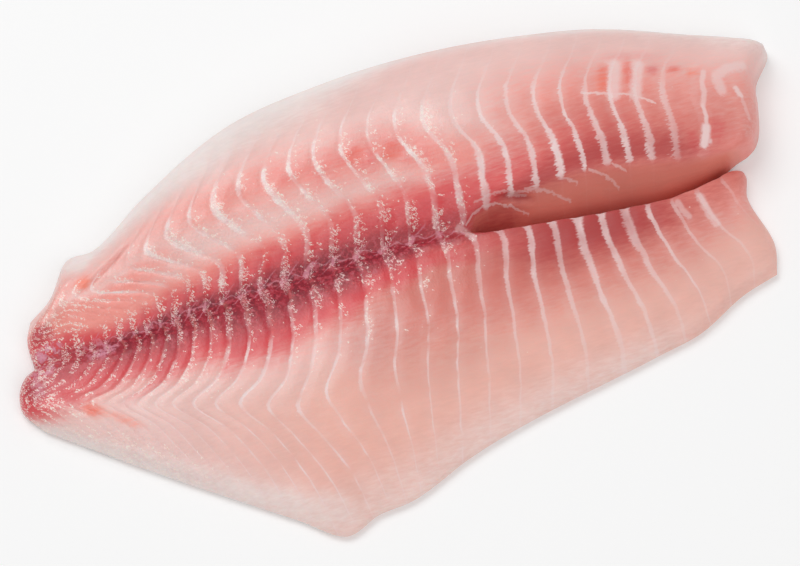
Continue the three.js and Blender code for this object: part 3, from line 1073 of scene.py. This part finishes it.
@dataclass(frozen=True)
class SkinnedSide:
    """Finish of the underside, where the skin came off: pale, silvery, with a red band under the seam."""

    pale: Colour = srgb("E6C4BC")
    silver: Colour = srgb("DCD3D0")
    red: Colour = srgb("A8464A")
    sheet: Colour = srgb("F1E6E2")
    scatter: float = 0.15
    sheet_width: float = 0.14
    feather: float = 0.2

    def material(self, weave: Weave) -> bpy.types.Material:
        """Builds the material.

        Args:
            weave: Node groups shared by the finishes.

        Returns:
            The material.
        """
        material, graph, surface = new_flesh("skinned_side", self.scatter)
        fibres = graph.use(weave.grain)["Fibres"]
        line = graph.use(weave.lines, {"Width": self.sheet_width, "Feather": self.feather})["Line"]
        blotch = graph.step(graph.attribute("blotch"), -0.4, 0.4)
        inputs = {"Mask": graph.attribute("lateral"), "Noise": fibres, "Strength": 1.6}
        lateral = graph.use(weave.ragged, inputs)["Mask"]
        colour = graph.mix(lateral, graph.mix(blotch, self.pale, self.silver), self.red)
        graph.set(surface["Base Color"], graph.mix(line, colour, self.sheet, 0.6))
        graph.set(surface["Roughness"], graph.scaled(blotch, 0.15, 0.28))
        graph.set(surface["Normal"], graph.bump(graph.scaled(line, 0.15, graph.times(fibres, 0.12))))
        return material


# ---------------------------------------------------------------- the fillet


class Layer(Enum):
    """The two faces of the fillet."""

    CUT_SIDE = 0
    SKINNED_SIDE = 1


def fetch(parts: bpy.types.bpy_prop_collection, name: str, size: int = 1, kind: type = float) -> np.ndarray:
    """Reads one property of many parts of a mesh.

    Args:
        parts: The parts, such as its points or its edges.
        name: The property.
        size: How many numbers it holds.
        kind: Type of the numbers.

    Returns:
        The numbers, in a row for each part if there is more than one.
    """
    values = np.empty(size * len(parts), kind)
    parts.foreach_get(name, values)
    return values.reshape(-1, size) if size > 1 else values


@dataclass
class Fillet:
    """The whole fillet: one closed skin of flesh, shaped from a thickened grid."""

    columns_per_flake: int = 10
    back_rows: int = 72
    belly_rows: int = 62
    row_crowding: float = 0.5
    undercut: float = 0.6
    under_lip: float = 0.7
    under_radius: float = 1.5
    gap_across: float = 0.1
    smooth_angle: float = 50.0
    piece: bpy.types.Object = field(default=None, init=False)

    def build(self) -> bpy.types.Object:
        """Builds and dresses the fillet, and ties it to the frame.

        Returns:
            The piece of flesh.
        """
        self.add_sheet()
        self.part_along_cut()
        self.thicken()
        self.shape()
        self.dress()
        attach(self.piece, "root")
        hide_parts("fillet")
        return self.piece

    def add_sheet(self) -> None:
        """Adds a flat grid with a column for each step along the flakes and a row for each step across."""
        self.sheets = FLAKES.sheets()
        self.columns = self.columns_per_flake * (len(self.sheets) - 1)
        rows = self.back_rows + self.belly_rows
        bpy.ops.object.select_all(action="DESELECT")
        bpy.ops.mesh.primitive_grid_add(x_subdivisions=self.columns, y_subdivisions=rows, size=2.0)
        self.piece = bpy.context.active_object
        self.piece.name = "fillet_flesh"
        self.piece.data.name = "fillet_flesh"
        shares = (fetch(self.piece.data.vertices, "co", 3) + 1.0) / 2.0
        self.write_number("column", np.rint(shares[:, 0] * self.columns))
        self.write_number("row", np.rint(shares[:, 1] * rows) - self.belly_rows)

    def part_along_cut(self) -> None:
        """Splits the grid along the seam from the start of the cut to the head end."""
        mesh = self.piece.data
        column, row = self.read_number("column"), self.read_number("row")
        first = np.searchsorted(self.seam_places(), CUT_STARTS_ALONG, side="right") - 1
        in_cut = (row == 0) & (column >= first)
        chosen = in_cut[fetch(mesh.edges, "vertices", 2, int)].all(axis=1)
        mesh.vertices.foreach_set("select", np.zeros(len(mesh.vertices), bool))
        mesh.polygons.foreach_set("select", np.zeros(len(mesh.polygons), bool))
        mesh.edges.foreach_set("select", chosen)
        bpy.ops.object.mode_set(mode="EDIT")
        bpy.ops.mesh.select_mode(type="EDGE")
        bpy.ops.mesh.edge_split(type="EDGE")
        bpy.ops.object.mode_set(mode="OBJECT")
        self.write_number("lobe", self.lobe_of_each_point())

    def lobe_of_each_point(self) -> np.ndarray:
        """Sorts the points between the lobes. The grown seam goes with the loin.

        Returns:
            1 for the points of the back loin, and -1 for those of the belly flap.
        """
        corners = self.corners()
        in_back = self.read_number("row")[corners].mean(axis=1) > 0
        lobe = np.full(len(self.piece.data.vertices), float(BELLY.side))
        lobe[corners[in_back].ravel()] = BACK.side
        return lobe

    def thicken(self) -> None:
        """Gives the sheet its second side and the walls between the two."""
        solid = self.piece.modifiers.new("thickness", "SOLIDIFY")
        solid.thickness = 1.0
        solid.offset = -1.0
        bpy.ops.object.modifier_apply(modifier=solid.name)
        self.write_number("under", fetch(self.piece.data.vertices, "co", 3)[:, 2] < -0.5)

    def seam_places(self) -> np.ndarray:
        """Where each column of the grid meets the seam."""
        steps = np.arange(self.columns + 1) / self.columns_per_flake
        return np.interp(steps, np.arange(len(self.sheets)), self.sheets)

    def shape(self) -> None:
        """Moves every point to its place on the flesh and stores what the finishes read."""
        column, row = self.read_number("column"), self.read_number("row")
        lobe, under = self.read_number("lobe"), self.read_number("under") > 0.5
        at_seam = self.seam_places()[column.astype(int)]
        even = np.abs(row) / np.where(row > 0, self.back_rows, self.belly_rows)
        across = even - self.row_crowding * np.sin(2.0 * np.pi * even) / (2.0 * np.pi)
        along, from_seam = np.empty_like(across), np.empty_like(across)
        points = np.empty((len(across), 3))
        for form in (BACK, BELLY):
            own = lobe == form.side
            along[own] = form.along(at_seam[own], across[own])
            from_seam[own] = form.side * across[own] * form.width(along[own])
            points[own] = self.smooth_points(form, along[own], across[own], under[own])
            opened = (at_seam[own] > CUT_STARTS_ALONG) * fall(0.0, self.gap_across, across[own])
            points[own, 1] += form.side * (CUT_HALF_GAP * opened)
        self.write_points(points)
        place = FleshPlace(along, across, lobe, column / self.columns_per_flake, points[:, 0], points[:, 1])
        relief = np.where(under, 0.0, place.relief())
        lifted = points + fetch(self.piece.data.vertex_normals, "vector", 3) * relief[:, None]
        lifted[:, 2] = np.maximum(lifted[:, 2] + np.where(under, place.under_relief(), 0.0), 0.0)
        self.write_points(lifted)
        for name, values in (place.layers() | {"from_seam": from_seam}).items():
            self.write_number(name, values)

    def smooth_points(
        self, form: LobeShape, along: np.ndarray, across: np.ndarray, under: np.ndarray
    ) -> np.ndarray:
        """Places points on the smooth top of a lobe, or on its underside.

        Args:
            form: Shape of the lobe.
            along: Places along the fillet.
            across: Places across the lobe.
            under: Which points are on the underside.

        Returns:
            The positions in millimetres.
        """
        width = form.width(along)
        share = 1.0 - 2.0 * self.undercut / SEAM_LENGTH
        inwards_along = np.where(under, 0.5 + (along - 0.5) * share, along)
        inwards_across = across * np.where(under, 1.0 - self.undercut / width, 1.0)
        from_rim = np.minimum((1.0 - across) * width, np.minimum(along, 1.0 - along) * SEAM_LENGTH)
        lip = self.under_lip * (1.0 - rounding(from_rim, self.under_radius))
        height = np.where(under, lip, form.height(along, across))
        return np.column_stack([form.plan(inwards_along, inwards_across), height])

    def dress(self) -> None:
        """Gives the cut side and the skinned side their finishes."""
        mesh = self.piece.data
        weave = Weave.new()
        for finish in (CutFlesh(), SkinnedSide()):
            mesh.materials.append(finish.material(weave))
        under = self.read_number("under")[self.corners()].min(axis=1) > 0.5
        slots = np.where(under, Layer.SKINNED_SIDE.value, Layer.CUT_SIDE.value)
        mesh.polygons.foreach_set("material_index", slots)
        bpy.ops.object.shade_smooth_by_angle(angle=math.radians(self.smooth_angle))

    def corners(self) -> np.ndarray:
        """The four points of each face."""
        return fetch(self.piece.data.loops, "vertex_index", kind=int).reshape(-1, 4)

    def write_points(self, points: np.ndarray) -> None:
        """Moves the mesh's points to positions in millimetres."""
        self.piece.data.vertices.foreach_set("co", (points * MM).ravel())
        self.piece.data.update()

    def read_number(self, name: str) -> np.ndarray:
        """A number stored on each point."""
        return fetch(self.piece.data.attributes[name].data, "value")

    def write_number(self, name: str, values: np.ndarray) -> None:
        """Stores a number on each point, where a finish can read it.

        Args:
            name: Name of the mesh layer.
            values: The number for each point.
        """
        attributes = self.piece.data.attributes
        layer = attributes.get(name) or attributes.new(name, "FLOAT", "POINT")
        layer.data.foreach_set("value", np.asarray(values, float))


LUCK_SEED = 5


@dataclass
class FleshPlace:
    """Places on the fillet, with the relief and the stains that the flesh has there."""

    along: np.ndarray
    across: np.ndarray
    lobe: np.ndarray
    flake: np.ndarray
    x: np.ndarray
    y: np.ndarray

    def __post_init__(self) -> None:
        """Works out what several stains share."""
        self.back = self.lobe > 0
        self.drift = ripple(self.x, self.y, size=14.0, seed=1)
        self.mottle = ripple(self.x, self.y, size=4.0, seed=2)
        self.crumple = ripple(self.x, self.y, size=1.6, seed=3)
        self.sway = ripple(self.x, self.y, size=2.8, seed=4)
        self.cut = rise(CUT_STARTS_ALONG - CUT_FADE, CUT_STARTS_ALONG + CUT_FADE, self.along)
        self.head_part = rise(0.5, 0.66, self.along)
        start = np.sqrt(np.clip((self.along - WALL_STARTS_ALONG) / WALL_GROWS_ALONG, 0.0, 1.0))
        top = self.lengthwise(
            (0.67, 0.7, 0.74, 0.8, 0.87, 0.91, 0.96, 1), (0.12, 0.15, 0.19, 0.215, 0.21, 0.17, 0.14, 0.12)
        )
        self.up_wall = self.across / (start * top + 1e-6)
        self.flake = self.flake + 0.05 * self.sway * rise(0.0, 0.05, self.across)
        self.within = self.flake - np.floor(self.flake)
        self.rough = self.across + 0.02 * self.drift + 0.012 * self.mottle
        chance = np.random.default_rng(LUCK_SEED).uniform(-1.0, 1.0, (2, int(self.flake.max()) + 2))
        self.sheet_luck, self.width_luck = chance[:, np.rint(self.flake).astype(int)]
        self.flake_luck = chance[0][np.floor(self.flake).astype(int)]

    def by_lobe(self, back: object, belly: object) -> np.ndarray:
        """The first value on the back loin and the second on the belly flap."""
        return np.where(self.back, back, belly)

    def by_part(self, tail: np.ndarray, head: np.ndarray) -> np.ndarray:
        """The first value in the tail half and the second in the head part, blended between them."""
        return tail * (1.0 - self.head_part) + head * self.head_part

    def lengthwise(self, knots: Table, values: Table) -> np.ndarray:
        """A table read by the place along the fillet."""
        return curve_at(knots, values, self.along, level=True)

    def crosswise(self, knots: Table, values: Table) -> np.ndarray:
        """A table read by the place across the lobe."""
        return curve_at(knots, values, self.across, level=True)

    def on_wall(self) -> np.ndarray:
        """Share of the cut's smooth walls, on the loin and on the edge of the flap."""
        loin = rise(0.616, 0.634, self.along) * fall(0.75, 1.2, self.up_wall)
        return self.by_lobe(loin, self.cut * fall(0.012, 0.03, self.across))

    def bare_wall(self) -> np.ndarray:
        """Share of the cut's walls that are clear of the sheets."""
        loin = (self.along > WALL_STARTS_ALONG) * fall(0.92, 1.02, self.up_wall)
        return self.by_lobe(loin, 0.75 * self.on_wall())

    def inside(self) -> np.ndarray:
        """1 away from the outline, fading to 0 on it."""
        ends = rise(0, 0.05, self.along) * rise(0, 0.03, 1 - self.along)
        return ends * rise(0, 0.08, 1 - self.across)

    def grooves(self) -> np.ndarray:
        """Depth of the grooves between the flakes.

        Returns:
            Their height in millimetres, which is 0 or less.
        """
        loin = self.lengthwise((0.06, 0.2, 0.3, 0.5, 0.65, 1), (0, 0.25, 0.35, 0.3, 0.2, 0.2))
        loin = loin * self.crosswise((0.05, 0.3, 0.6, 0.8), (1, 1, 0.8, 0.25))
        flap = self.lengthwise((0.05, 0.14, 0.3, 0.5, 0.65, 1), (0, 0.22, 0.3, 0.2, 0.22, 0.2))
        flap = flap * self.crosswise((0.05, 0.3, 0.6, 0.9), (1, 1, 0.7, 0.4))
        between = np.sin(np.pi * self.within) ** 0.7 - 1.0
        return between * self.by_lobe(loin, flap) * rise(0.0, 0.05, self.across)

    def raised_edges(self) -> np.ndarray:
        """Tilt of the flakes that lie over each other like tiles in the tail half.

        Returns:
            Height in millimetres.
        """
        loin = 0.35 * hump(0.0, 0.07, self.across) + 0.3 * hump(0.45, 0.2, self.across)
        tilt = self.by_lobe(loin, 0.8 * hump(0.06, 0.08, self.across))
        return tilt * (0.5 - self.within) * (rise(0.08, 0.18, self.along) * fall(0.3, 0.58, self.along))

    def relief(self) -> np.ndarray:
        """Height of the flakes, flaps and bumps over the smooth flesh.

        Returns:
            Height in millimetres.
        """
        smooth = 1.0 - self.on_wall()
        bumps = 0.25 * self.drift + 0.1 * self.mottle + 0.05 * self.crumple * (1 - self.cut)
        spots = sum(spot.lift * spot.reach(self.x, self.y) for spot in SPOTS if spot.lift)
        inner = self.inside() * (smooth * self.grooves() + bumps * (0.4 + 0.6 * smooth))
        return inner + self.raised_edges() + spots * self.back

    def under_relief(self) -> np.ndarray:
        """Height of the hollows in the underside.

        Returns:
            Height in millimetres.
        """
        groove = (1.0 - np.sin(np.pi * self.within) ** 0.6) * 0.3
        line = 0.5 * hump(0.0, 0.06, self.across) * (1.0 - self.cut)
        return self.inside() * (groove + line)

    def dark_share(self) -> np.ndarray:
        """Distance from the seam against the reach of the dark muscle.

        Returns:
            The share at each place, 1 where the dark muscle ends.
        """
        loin = self.lengthwise(
            (0, 0.03, 0.08, 0.14, 0.3, 0.5, 0.64, 0.8, 1),
            (0.6, 0.35, 0.2, 0.18, 0.22, 0.28, 0.36, 0.5, 0.42),
        )
        flap = self.lengthwise(
            (0, 0.04, 0.12, 0.3, 0.5, 0.58, 0.64, 0.75, 0.9, 1),
            (0.78, 0.72, 0.45, 0.33, 0.26, 0.2, 0.22, 0.3, 0.28, 0.2),
        )
        luck = 1.0 + 0.12 * self.flake_luck * self.by_lobe(0.5, 1.0)
        return self.rough / (self.by_lobe(loin, flap) * luck)

    def ridge(self) -> np.ndarray:
        """Where the crest of the loin runs, across the lobe."""
        places = (0.08, 0.2, 0.28, 0.36, 0.44, 0.52, 0.6)
        return self.lengthwise(places, (0.6, 0.6, 0.52, 0.5, 0.46, 0.44, 0.34))

    def blood(self) -> np.ndarray:
        """Red on both sides of the seam, and in a flush on the loin's crest.

        Returns:
            Amount of the tone.
        """
        loin = self.lengthwise((0, 0.55, 0.64, 0.76, 0.86, 1), (0.95, 0.95, 0.75, 0.55, 0.3, 0.1))
        flap = self.lengthwise(
            (0, 0.5, 0.57, 0.65, 0.72, 0.84, 0.9, 1), (0.95, 0.93, 0.7, 0.45, 0.4, 0.35, 0.12, 0.05)
        )
        fades = fall(self.by_lobe(0.45, 0.7), self.by_lobe(1.2, 1.12), self.dark_share())
        flush = hump(self.ridge(), 0.08, self.rough) * hump(0.47, 0.13, self.along) * self.back
        return np.maximum(self.by_lobe(loin, flap) * fades, 0.35 * flush * (1.0 + 0.8 * self.mottle))

    def plum(self) -> np.ndarray:
        """Dark muscle along the seam.

        Returns:
            Amount of the tone.
        """
        amount = self.lengthwise((0, 0.06, 0.15, 0.35, 0.5, 0.6, 0.7), (0.3, 0.6, 1, 1, 0.9, 0.6, 0))
        amount = amount * (1.0 - 0.25 * rise(0.4, 0.5, self.along) * self.back)
        narrow = 1.0 - 0.3 * rise(0.4, 0.6, self.along)
        return amount * fall(self.by_lobe(0.05, 0.2), self.by_lobe(0.5, 0.8) * narrow, self.dark_share())

    def salmon(self) -> np.ndarray:
        """Orange pink beside the dark muscle, on the loin's crest and above the cut.

        Returns:
            Amount of the tone.
        """
        band = hump(self.ridge(), 0.13, self.rough)
        band = band * self.lengthwise((0, 0.14, 0.3, 0.6, 0.7), (0.9, 0.5, 0.9, 0.9, 0))
        apron = self.lengthwise((0.6, 0.75, 1), (0, 0.85, 0.6)) * fall(0.5, 0.85, self.rough)
        near = fall(0.18, self.lengthwise((0, 0.1, 0.2, 1), (0.75, 0.5, 0.36, 0.36)), self.rough)
        at_tail = fall(0.14, 0.26, self.along) * fall(0.4, 0.56, self.rough)
        flap_ends = self.lengthwise(
            (0, 0.08, 0.2, 0.4, 0.5, 0.58, 0.66, 0.74), (1.2, 0.72, 0.48, 0.44, 0.35, 0.56, 0.7, 0.62)
        )
        loin = np.maximum(np.maximum(band, apron), np.maximum(near, at_tail))
        return self.by_lobe(loin, fall(0.16, flap_ends, self.rough))

    def rose(self) -> np.ndarray:
        """Deep pink beside the cut.

        Returns:
            Amount of the tone.
        """
        loin = self.lengthwise((0.6, 0.8, 0.92, 1), (0, 0.95, 0.7, 0.3)) * fall(0.3, 0.72, self.rough)
        flap = self.lengthwise((0.38, 0.55, 0.8, 0.9, 1), (0, 1.0, 0.95, 0.7, 0.3))
        return self.by_lobe(loin, flap * fall(0.3, 0.75, self.rough))

    def cream(self) -> np.ndarray:
        """Pale flank on the loin's outer side, and a pale rim on the flap that is partly its own colour and
        partly painted light against the shade of the rounded rim.

        Returns:
            Amount of the tone.
        """
        starts = self.lengthwise((0, 0.1, 0.25, 0.45, 0.6, 0.8, 1), (1.05, 0.9, 0.72, 0.83, 1.03, 0.95, 0.85))
        # The flap's rim is partly paler flesh and partly painted light, lifting the shade that falls on its
        # rounded edge.
        flap = self.lengthwise((0, 0.2, 0.35, 0.78, 0.88), (0.9, 0.8, 0.5, 0.5, 0.1))
        return self.by_lobe(rise(-0.14, 0.12, self.rough - starts), flap * rise(0.75, 1.0, self.rough))

    def peach(self) -> np.ndarray:
        """Warm pink on the outer half of the flap."""
        return self.by_lobe(0.0, self.lengthwise((0.15, 0.4, 1), (0, 1, 0.85)) * rise(0.3, 0.55, self.rough))

    def hollow(self) -> np.ndarray:
        """Painted shade in a darker red over and under the cut's wall, and beside it on the flap.

        Returns:
            Amount of the tone.
        """
        # Painted shade along the top edge of the wall and at its foot.
        at_top = 0.75 * rise(0.64, 0.7, self.along) * fall(0.86, 0.96, self.along)
        at_top = at_top * hump(1.25, 0.42, self.up_wall)
        at_foot = 0.3 * self.cut * fall(0.82, 0.93, self.along) * fall(0.0, 0.45, self.up_wall)
        flap = self.lengthwise((0.58, 0.66, 0.73, 0.8, 0.86, 0.9, 1), (0, 0.45, 0.95, 0.95, 0.7, 0.3, 0.1))
        return self.by_lobe(np.maximum(at_top, at_foot), flap * fall(0.2, 0.45, self.rough))

    def tones(self) -> dict[Tone, np.ndarray]:
        """Amount of each tone of the flesh and of the painted shade, with the spots laid over the even
        stains.

        Returns:
            The amounts by tone.
        """
        amounts = dict.fromkeys(Tone, 0.0) | {
            Tone.PEACH: self.peach(), Tone.CREAM: self.cream(), Tone.SALMON: self.salmon(),
            Tone.ROSE: self.rose(), Tone.BLOOD: self.blood(), Tone.PLUM: self.plum(),
            Tone.WALL: self.on_wall(), Tone.RECESS_SHADE: self.hollow(),
        }
        for spot in SPOTS:
            share = spot.amount * spot.reach(self.x + 0.5 * self.mottle, self.y + 0.5 * self.crumple)
            amounts[spot.tone] = 1.0 - (1.0 - amounts[spot.tone]) * (1.0 - share)
        off_wall = 1.0 - 0.8 * self.on_wall() * (self.along > 0.64)
        for tone in (Tone.BLOOD, Tone.PLUM, Tone.ROSE):
            amounts[tone] = amounts[tone] * off_wall
        return amounts

    def loin_sheets(self) -> np.ndarray:
        """How white the sheets between the flakes are on the loin.

        Returns:
            Strength of the sheets.
        """
        tail = self.crosswise(
            (0, 0.1, 0.24, 0.4, 0.55, 0.66, 0.8, 0.95), (0.45, 0.35, 0.3, 0.78, 0.78, 0.5, 0.4, 0.1)
        )
        bare = self.lengthwise((0, 0.09, 0.126, 0.184, 0.24, 0.32), (0.6, 0.42, 0.28, 0.17, 0.1, -0.1))
        tail = tail * rise(0.0, 0.08, self.across - bare)
        crest = self.lengthwise((0.06, 0.2, 0.35, 0.5), (0.56, 0.58, 0.62, 0.75))
        tail = tail * (1.0 - 0.6 * rise(-0.06, 0.1, self.across - crest))
        head = self.crosswise((0, 0.18, 0.35, 0.5, 0.62, 0.72, 0.85), (0.25, 0.72, 0.7, 0.62, 0.5, 0.2, 0.08))
        return self.by_part(tail, head) * self.lengthwise(
            (0, 0.08, 0.2, 0.35, 0.5, 0.62, 0.8, 0.86, 0.9, 1),
            (0.05, 0.5, 0.6, 0.65, 0.65, 0.95, 1, 0.9, 0.15, 0),
        )

    def flap_sheets(self) -> np.ndarray:
        """How white the sheets between the flakes are on the flap.

        Returns:
            Strength of the sheets.
        """
        tail = self.crosswise((0, 0.12, 0.22, 0.35, 0.5, 0.7, 0.9), (0.35, 0.25, 0.5, 0.9, 0.85, 0.65, 0.45))
        head = self.crosswise((0, 0.3, 0.5, 0.7, 0.9), (0.58, 0.58, 0.54, 0.46, 0.3))
        head = head * (1.0 - rise(0.84, 0.88, self.along) * fall(0.04, 0.16, self.across))
        near_seam = fall(0.16, 0.42, self.along) * fall(0.16, 0.3, self.across)
        return self.by_part(tail, head) * (1.0 - 0.85 * near_seam) * self.lengthwise(
            (0.06, 0.12, 0.2, 0.35, 0.5, 0.62, 0.8, 0.92, 1), (0, 0.15, 0.45, 0.6, 0.48, 0.72, 1, 0.8, 0.1)
        )

    def sheet_strength(self) -> np.ndarray:
        """How white the sheets between the flakes are, with their gaps.

        Returns:
            Strength of the sheets.
        """
        gaps = np.maximum(0.0, 1.0 + (1.8 - 1.4 * self.head_part) * self.sway)
        gaps = gaps * (1 - 0.96 * self.bare_wall()) * (1 + 0.15 * self.sheet_luck)
        return self.by_lobe(self.loin_sheets(), self.flap_sheets()) * gaps

    def sheet_width(self) -> np.ndarray:
        """How wide the sheets between the flakes are.

        Returns:
            Width as a share of a flake.
        """
        loin = self.by_part(
            self.crosswise((0, 0.2, 0.3, 0.5, 0.7, 0.9), (1.1, 1.25, 1.1, 0.85, 0.6, 0.4)),
            self.crosswise((0, 0.2, 0.3, 0.42, 0.56, 0.7, 0.9), (1.0, 1.6, 1.55, 1.05, 0.8, 0.6, 0.4)),
        )
        loin = loin * self.lengthwise(
            (0, 0.15, 0.35, 0.5, 0.62, 0.85, 1), (0.16, 0.16, 0.12, 0.08, 0.1, 0.11, 0.09)
        )
        flap = self.crosswise((0, 0.04, 0.09, 0.2, 0.4, 0.6, 1), (1.5, 1.45, 1.0, 0.95, 0.7, 0.5, 0.35))
        flap = flap * self.lengthwise(
            (0, 0.15, 0.35, 0.5, 0.62, 0.72, 0.825, 0.86, 1),
            (0.2, 0.15, 0.11, 0.08, 0.1, 0.17, 0.21, 0.1, 0.08),
        )
        luck = (1 + 0.2 * self.width_luck) * (1 + self.by_lobe(0.5, 0.25) * self.mottle)
        return self.by_lobe(loin, flap) * (1 - 0.7 * self.bare_wall()) * luck

    def wetness(self) -> np.ndarray:
        """How wet and puckered the flesh is, in the tail half and most of all at the tail end.

        Returns:
            The wetness, which may pass 1.
        """
        wet = self.by_lobe(
            self.crosswise((0, 0.14, 0.26, 0.42, 0.55, 0.7, 0.9), (1.0, 0.85, 0.6, 0.9, 0.75, 0.15, 0)),
            self.crosswise((0, 0.12, 0.22, 0.4, 0.6, 0.85, 1), (1.0, 0.9, 0.6, 0.35, 0.1, 0, 0)),
        )
        tips = fall(0.02, 0.13, self.along) * fall(0.55, 0.85, self.across)
        wet = fall(0.56, 0.68, self.along) * np.maximum(wet, 1.9 * tips)
        wet = wet * (1.0 + 0.6 * self.sway + 0.6 * self.mottle)
        low_edge = 1.1 * fall(0.1, 0.3, self.along) * rise(0.55, 0.85, self.across)
        mid_flap = 0.9 * fall(0.22, 0.36, self.along) * hump(0.35, 0.16, self.across)
        return np.maximum(wet, self.by_lobe(0.0, np.maximum(low_edge, mid_flap)))

    def cup(self) -> np.ndarray:
        """How strongly shade is painted into the cupped flakes beside the seam, and a highlight on their
        lips.
        """
        cup = self.by_lobe(0.3, 1.0) * rise(0.06, 0.14, self.along) * fall(0.26, 0.5, self.along)
        return cup * fall(0.12, 0.26, self.across)

    def layers(self) -> dict[str, np.ndarray]:
        """Everything that the finishes read from the mesh.

        Returns:
            The values for each point, by the name of the mesh layer.
        """
        return {tone.value: amount for tone, amount in self.tones().items()} | {
            "sheet": self.sheet_strength(),
            "sheet_width": self.sheet_width(),
            "feather": 0.6 + self.cut * self.by_lobe(1.0, 0.2),
            "wet": self.wetness(),
            "cup": self.cup(),
            "braid": rise(0.03, 0.1, self.along) * fall(0.6, 0.64, self.along),
            "lateral": fall(0.1, 0.24, self.across + 0.02 * self.drift) * 0.9,
            "flake": self.flake,
            "sway": self.sway,
            "blotch": self.drift + 0.7 * self.mottle,
        }


# ---------------------------------------------------------------- studio


@dataclass(frozen=True)
class Softbox:
    """A square area light aimed at the fillet, with its place and side in metres and its power in watts."""

    name: str
    place: tuple[float, float, float]
    size: float
    power: float

    def build(self) -> None:
        """Adds the light."""
        data = bpy.data.lights.new(self.name, "AREA")
        data.size = self.size
        data.energy = self.power
        light = bpy.data.objects.new(self.name, data)
        bpy.context.scene.collection.objects.link(light)
        spot = Vector(self.place)
        light.matrix_world = Matrix.Translation(spot) @ spot.to_track_quat("Z", "Y").to_matrix().to_4x4()


@dataclass
class Studio:
    """Pale floor, soft lights and the camera.

    The camera's distance and target are in millimetres, its clip range and the floor's sizes in metres.
    """

    azimuth: float = -17.0
    elevation: float = 68.0
    distance: float = 750.0
    target: tuple[float, float, float] = (-5.3, -0.9, 4.0)
    image_width: int = 800
    pixels_per_mm: float = 4.07
    sensor_width: float = 36.0
    clip_range: tuple[float, float] = (0.01, 20.0)
    floor_colour: Colour = srgb("FAFAFA")
    floor_size: float = 3.0
    floor_drop: float = 0.0002
    floor_roughness: float = 0.9
    floor_glow: float = 0.1
    glow_colour: Colour = srgb("FFFFFF")
    glow: float = 0.45
    lights: tuple[Softbox, ...] = (
        Softbox("key_softbox", place=(-0.25, 0.55, 1.0), size=0.8, power=5.3),
        Softbox("fill_softbox", place=(0.3, -0.7, 0.9), size=0.9, power=2.9),
    )

    def build(self) -> None:
        """Adds the floor, the camera, the lights and the surrounding glow."""
        self.add_floor()
        self.add_camera()
        for softbox in self.lights:
            softbox.build()
        world = bpy.data.worlds.new("studio_glow")
        world.use_nodes = True
        background = world.node_tree.nodes["Background"].inputs
        background["Color"].default_value = self.glow_colour
        background["Strength"].default_value = self.glow
        bpy.context.scene.world = world
        bpy.context.scene.view_settings.view_transform = "Standard"

    def back_direction(self) -> Vector:
        """Unit vector from the target to the camera."""
        turn, tilt = math.radians(self.azimuth), math.radians(self.elevation)
        return Vector((math.sin(turn) * math.cos(tilt), -math.cos(turn) * math.cos(tilt), math.sin(tilt)))

    def add_camera(self) -> None:
        """Adds the camera where the photograph was taken from."""
        back = self.back_direction()
        turn = math.radians(self.azimuth)
        right = Vector((math.cos(turn), math.sin(turn), 0.0))
        up = back.cross(right)
        data = bpy.data.cameras.new("camera")
        data.sensor_width = self.sensor_width
        data.lens = self.distance * self.pixels_per_mm * data.sensor_width / self.image_width
        data.clip_start, data.clip_end = self.clip_range
        camera = bpy.data.objects.new("camera", data)
        bpy.context.scene.collection.objects.link(camera)
        place = (Vector(self.target) + back * self.distance) * MM
        camera.matrix_world = Matrix.Translation(place) @ Matrix((right, up, back)).transposed().to_4x4()
        bpy.context.scene.camera = camera

    def add_floor(self) -> None:
        """Adds the plain pale floor just under the fillet."""
        bpy.ops.object.select_all(action="DESELECT")
        bpy.ops.mesh.primitive_plane_add(size=self.floor_size, location=(0.0, 0.0, -self.floor_drop))
        floor = bpy.context.active_object
        floor.name = "floor"
        material = bpy.data.materials.new("floor_paint")
        material.use_nodes = True
        surface = material.node_tree.nodes["Principled BSDF"].inputs
        surface["Base Color"].default_value = self.floor_colour
        surface["Roughness"].default_value = self.floor_roughness
        surface["Emission Color"].default_value = self.floor_colour
        surface["Emission Strength"].default_value = self.floor_glow
        floor.data.materials.append(material)


def main() -> None:
    """Builds the studio and the fillet."""
    logging.basicConfig(level=logging.INFO, format="%(name)s: %(message)s")
    Studio().build()
    log.info("studio built")
    piece = Fillet().build()
    log.info("%s built with %d faces", piece.name, len(piece.data.polygons))


if __name__ == "__main__":
    main()
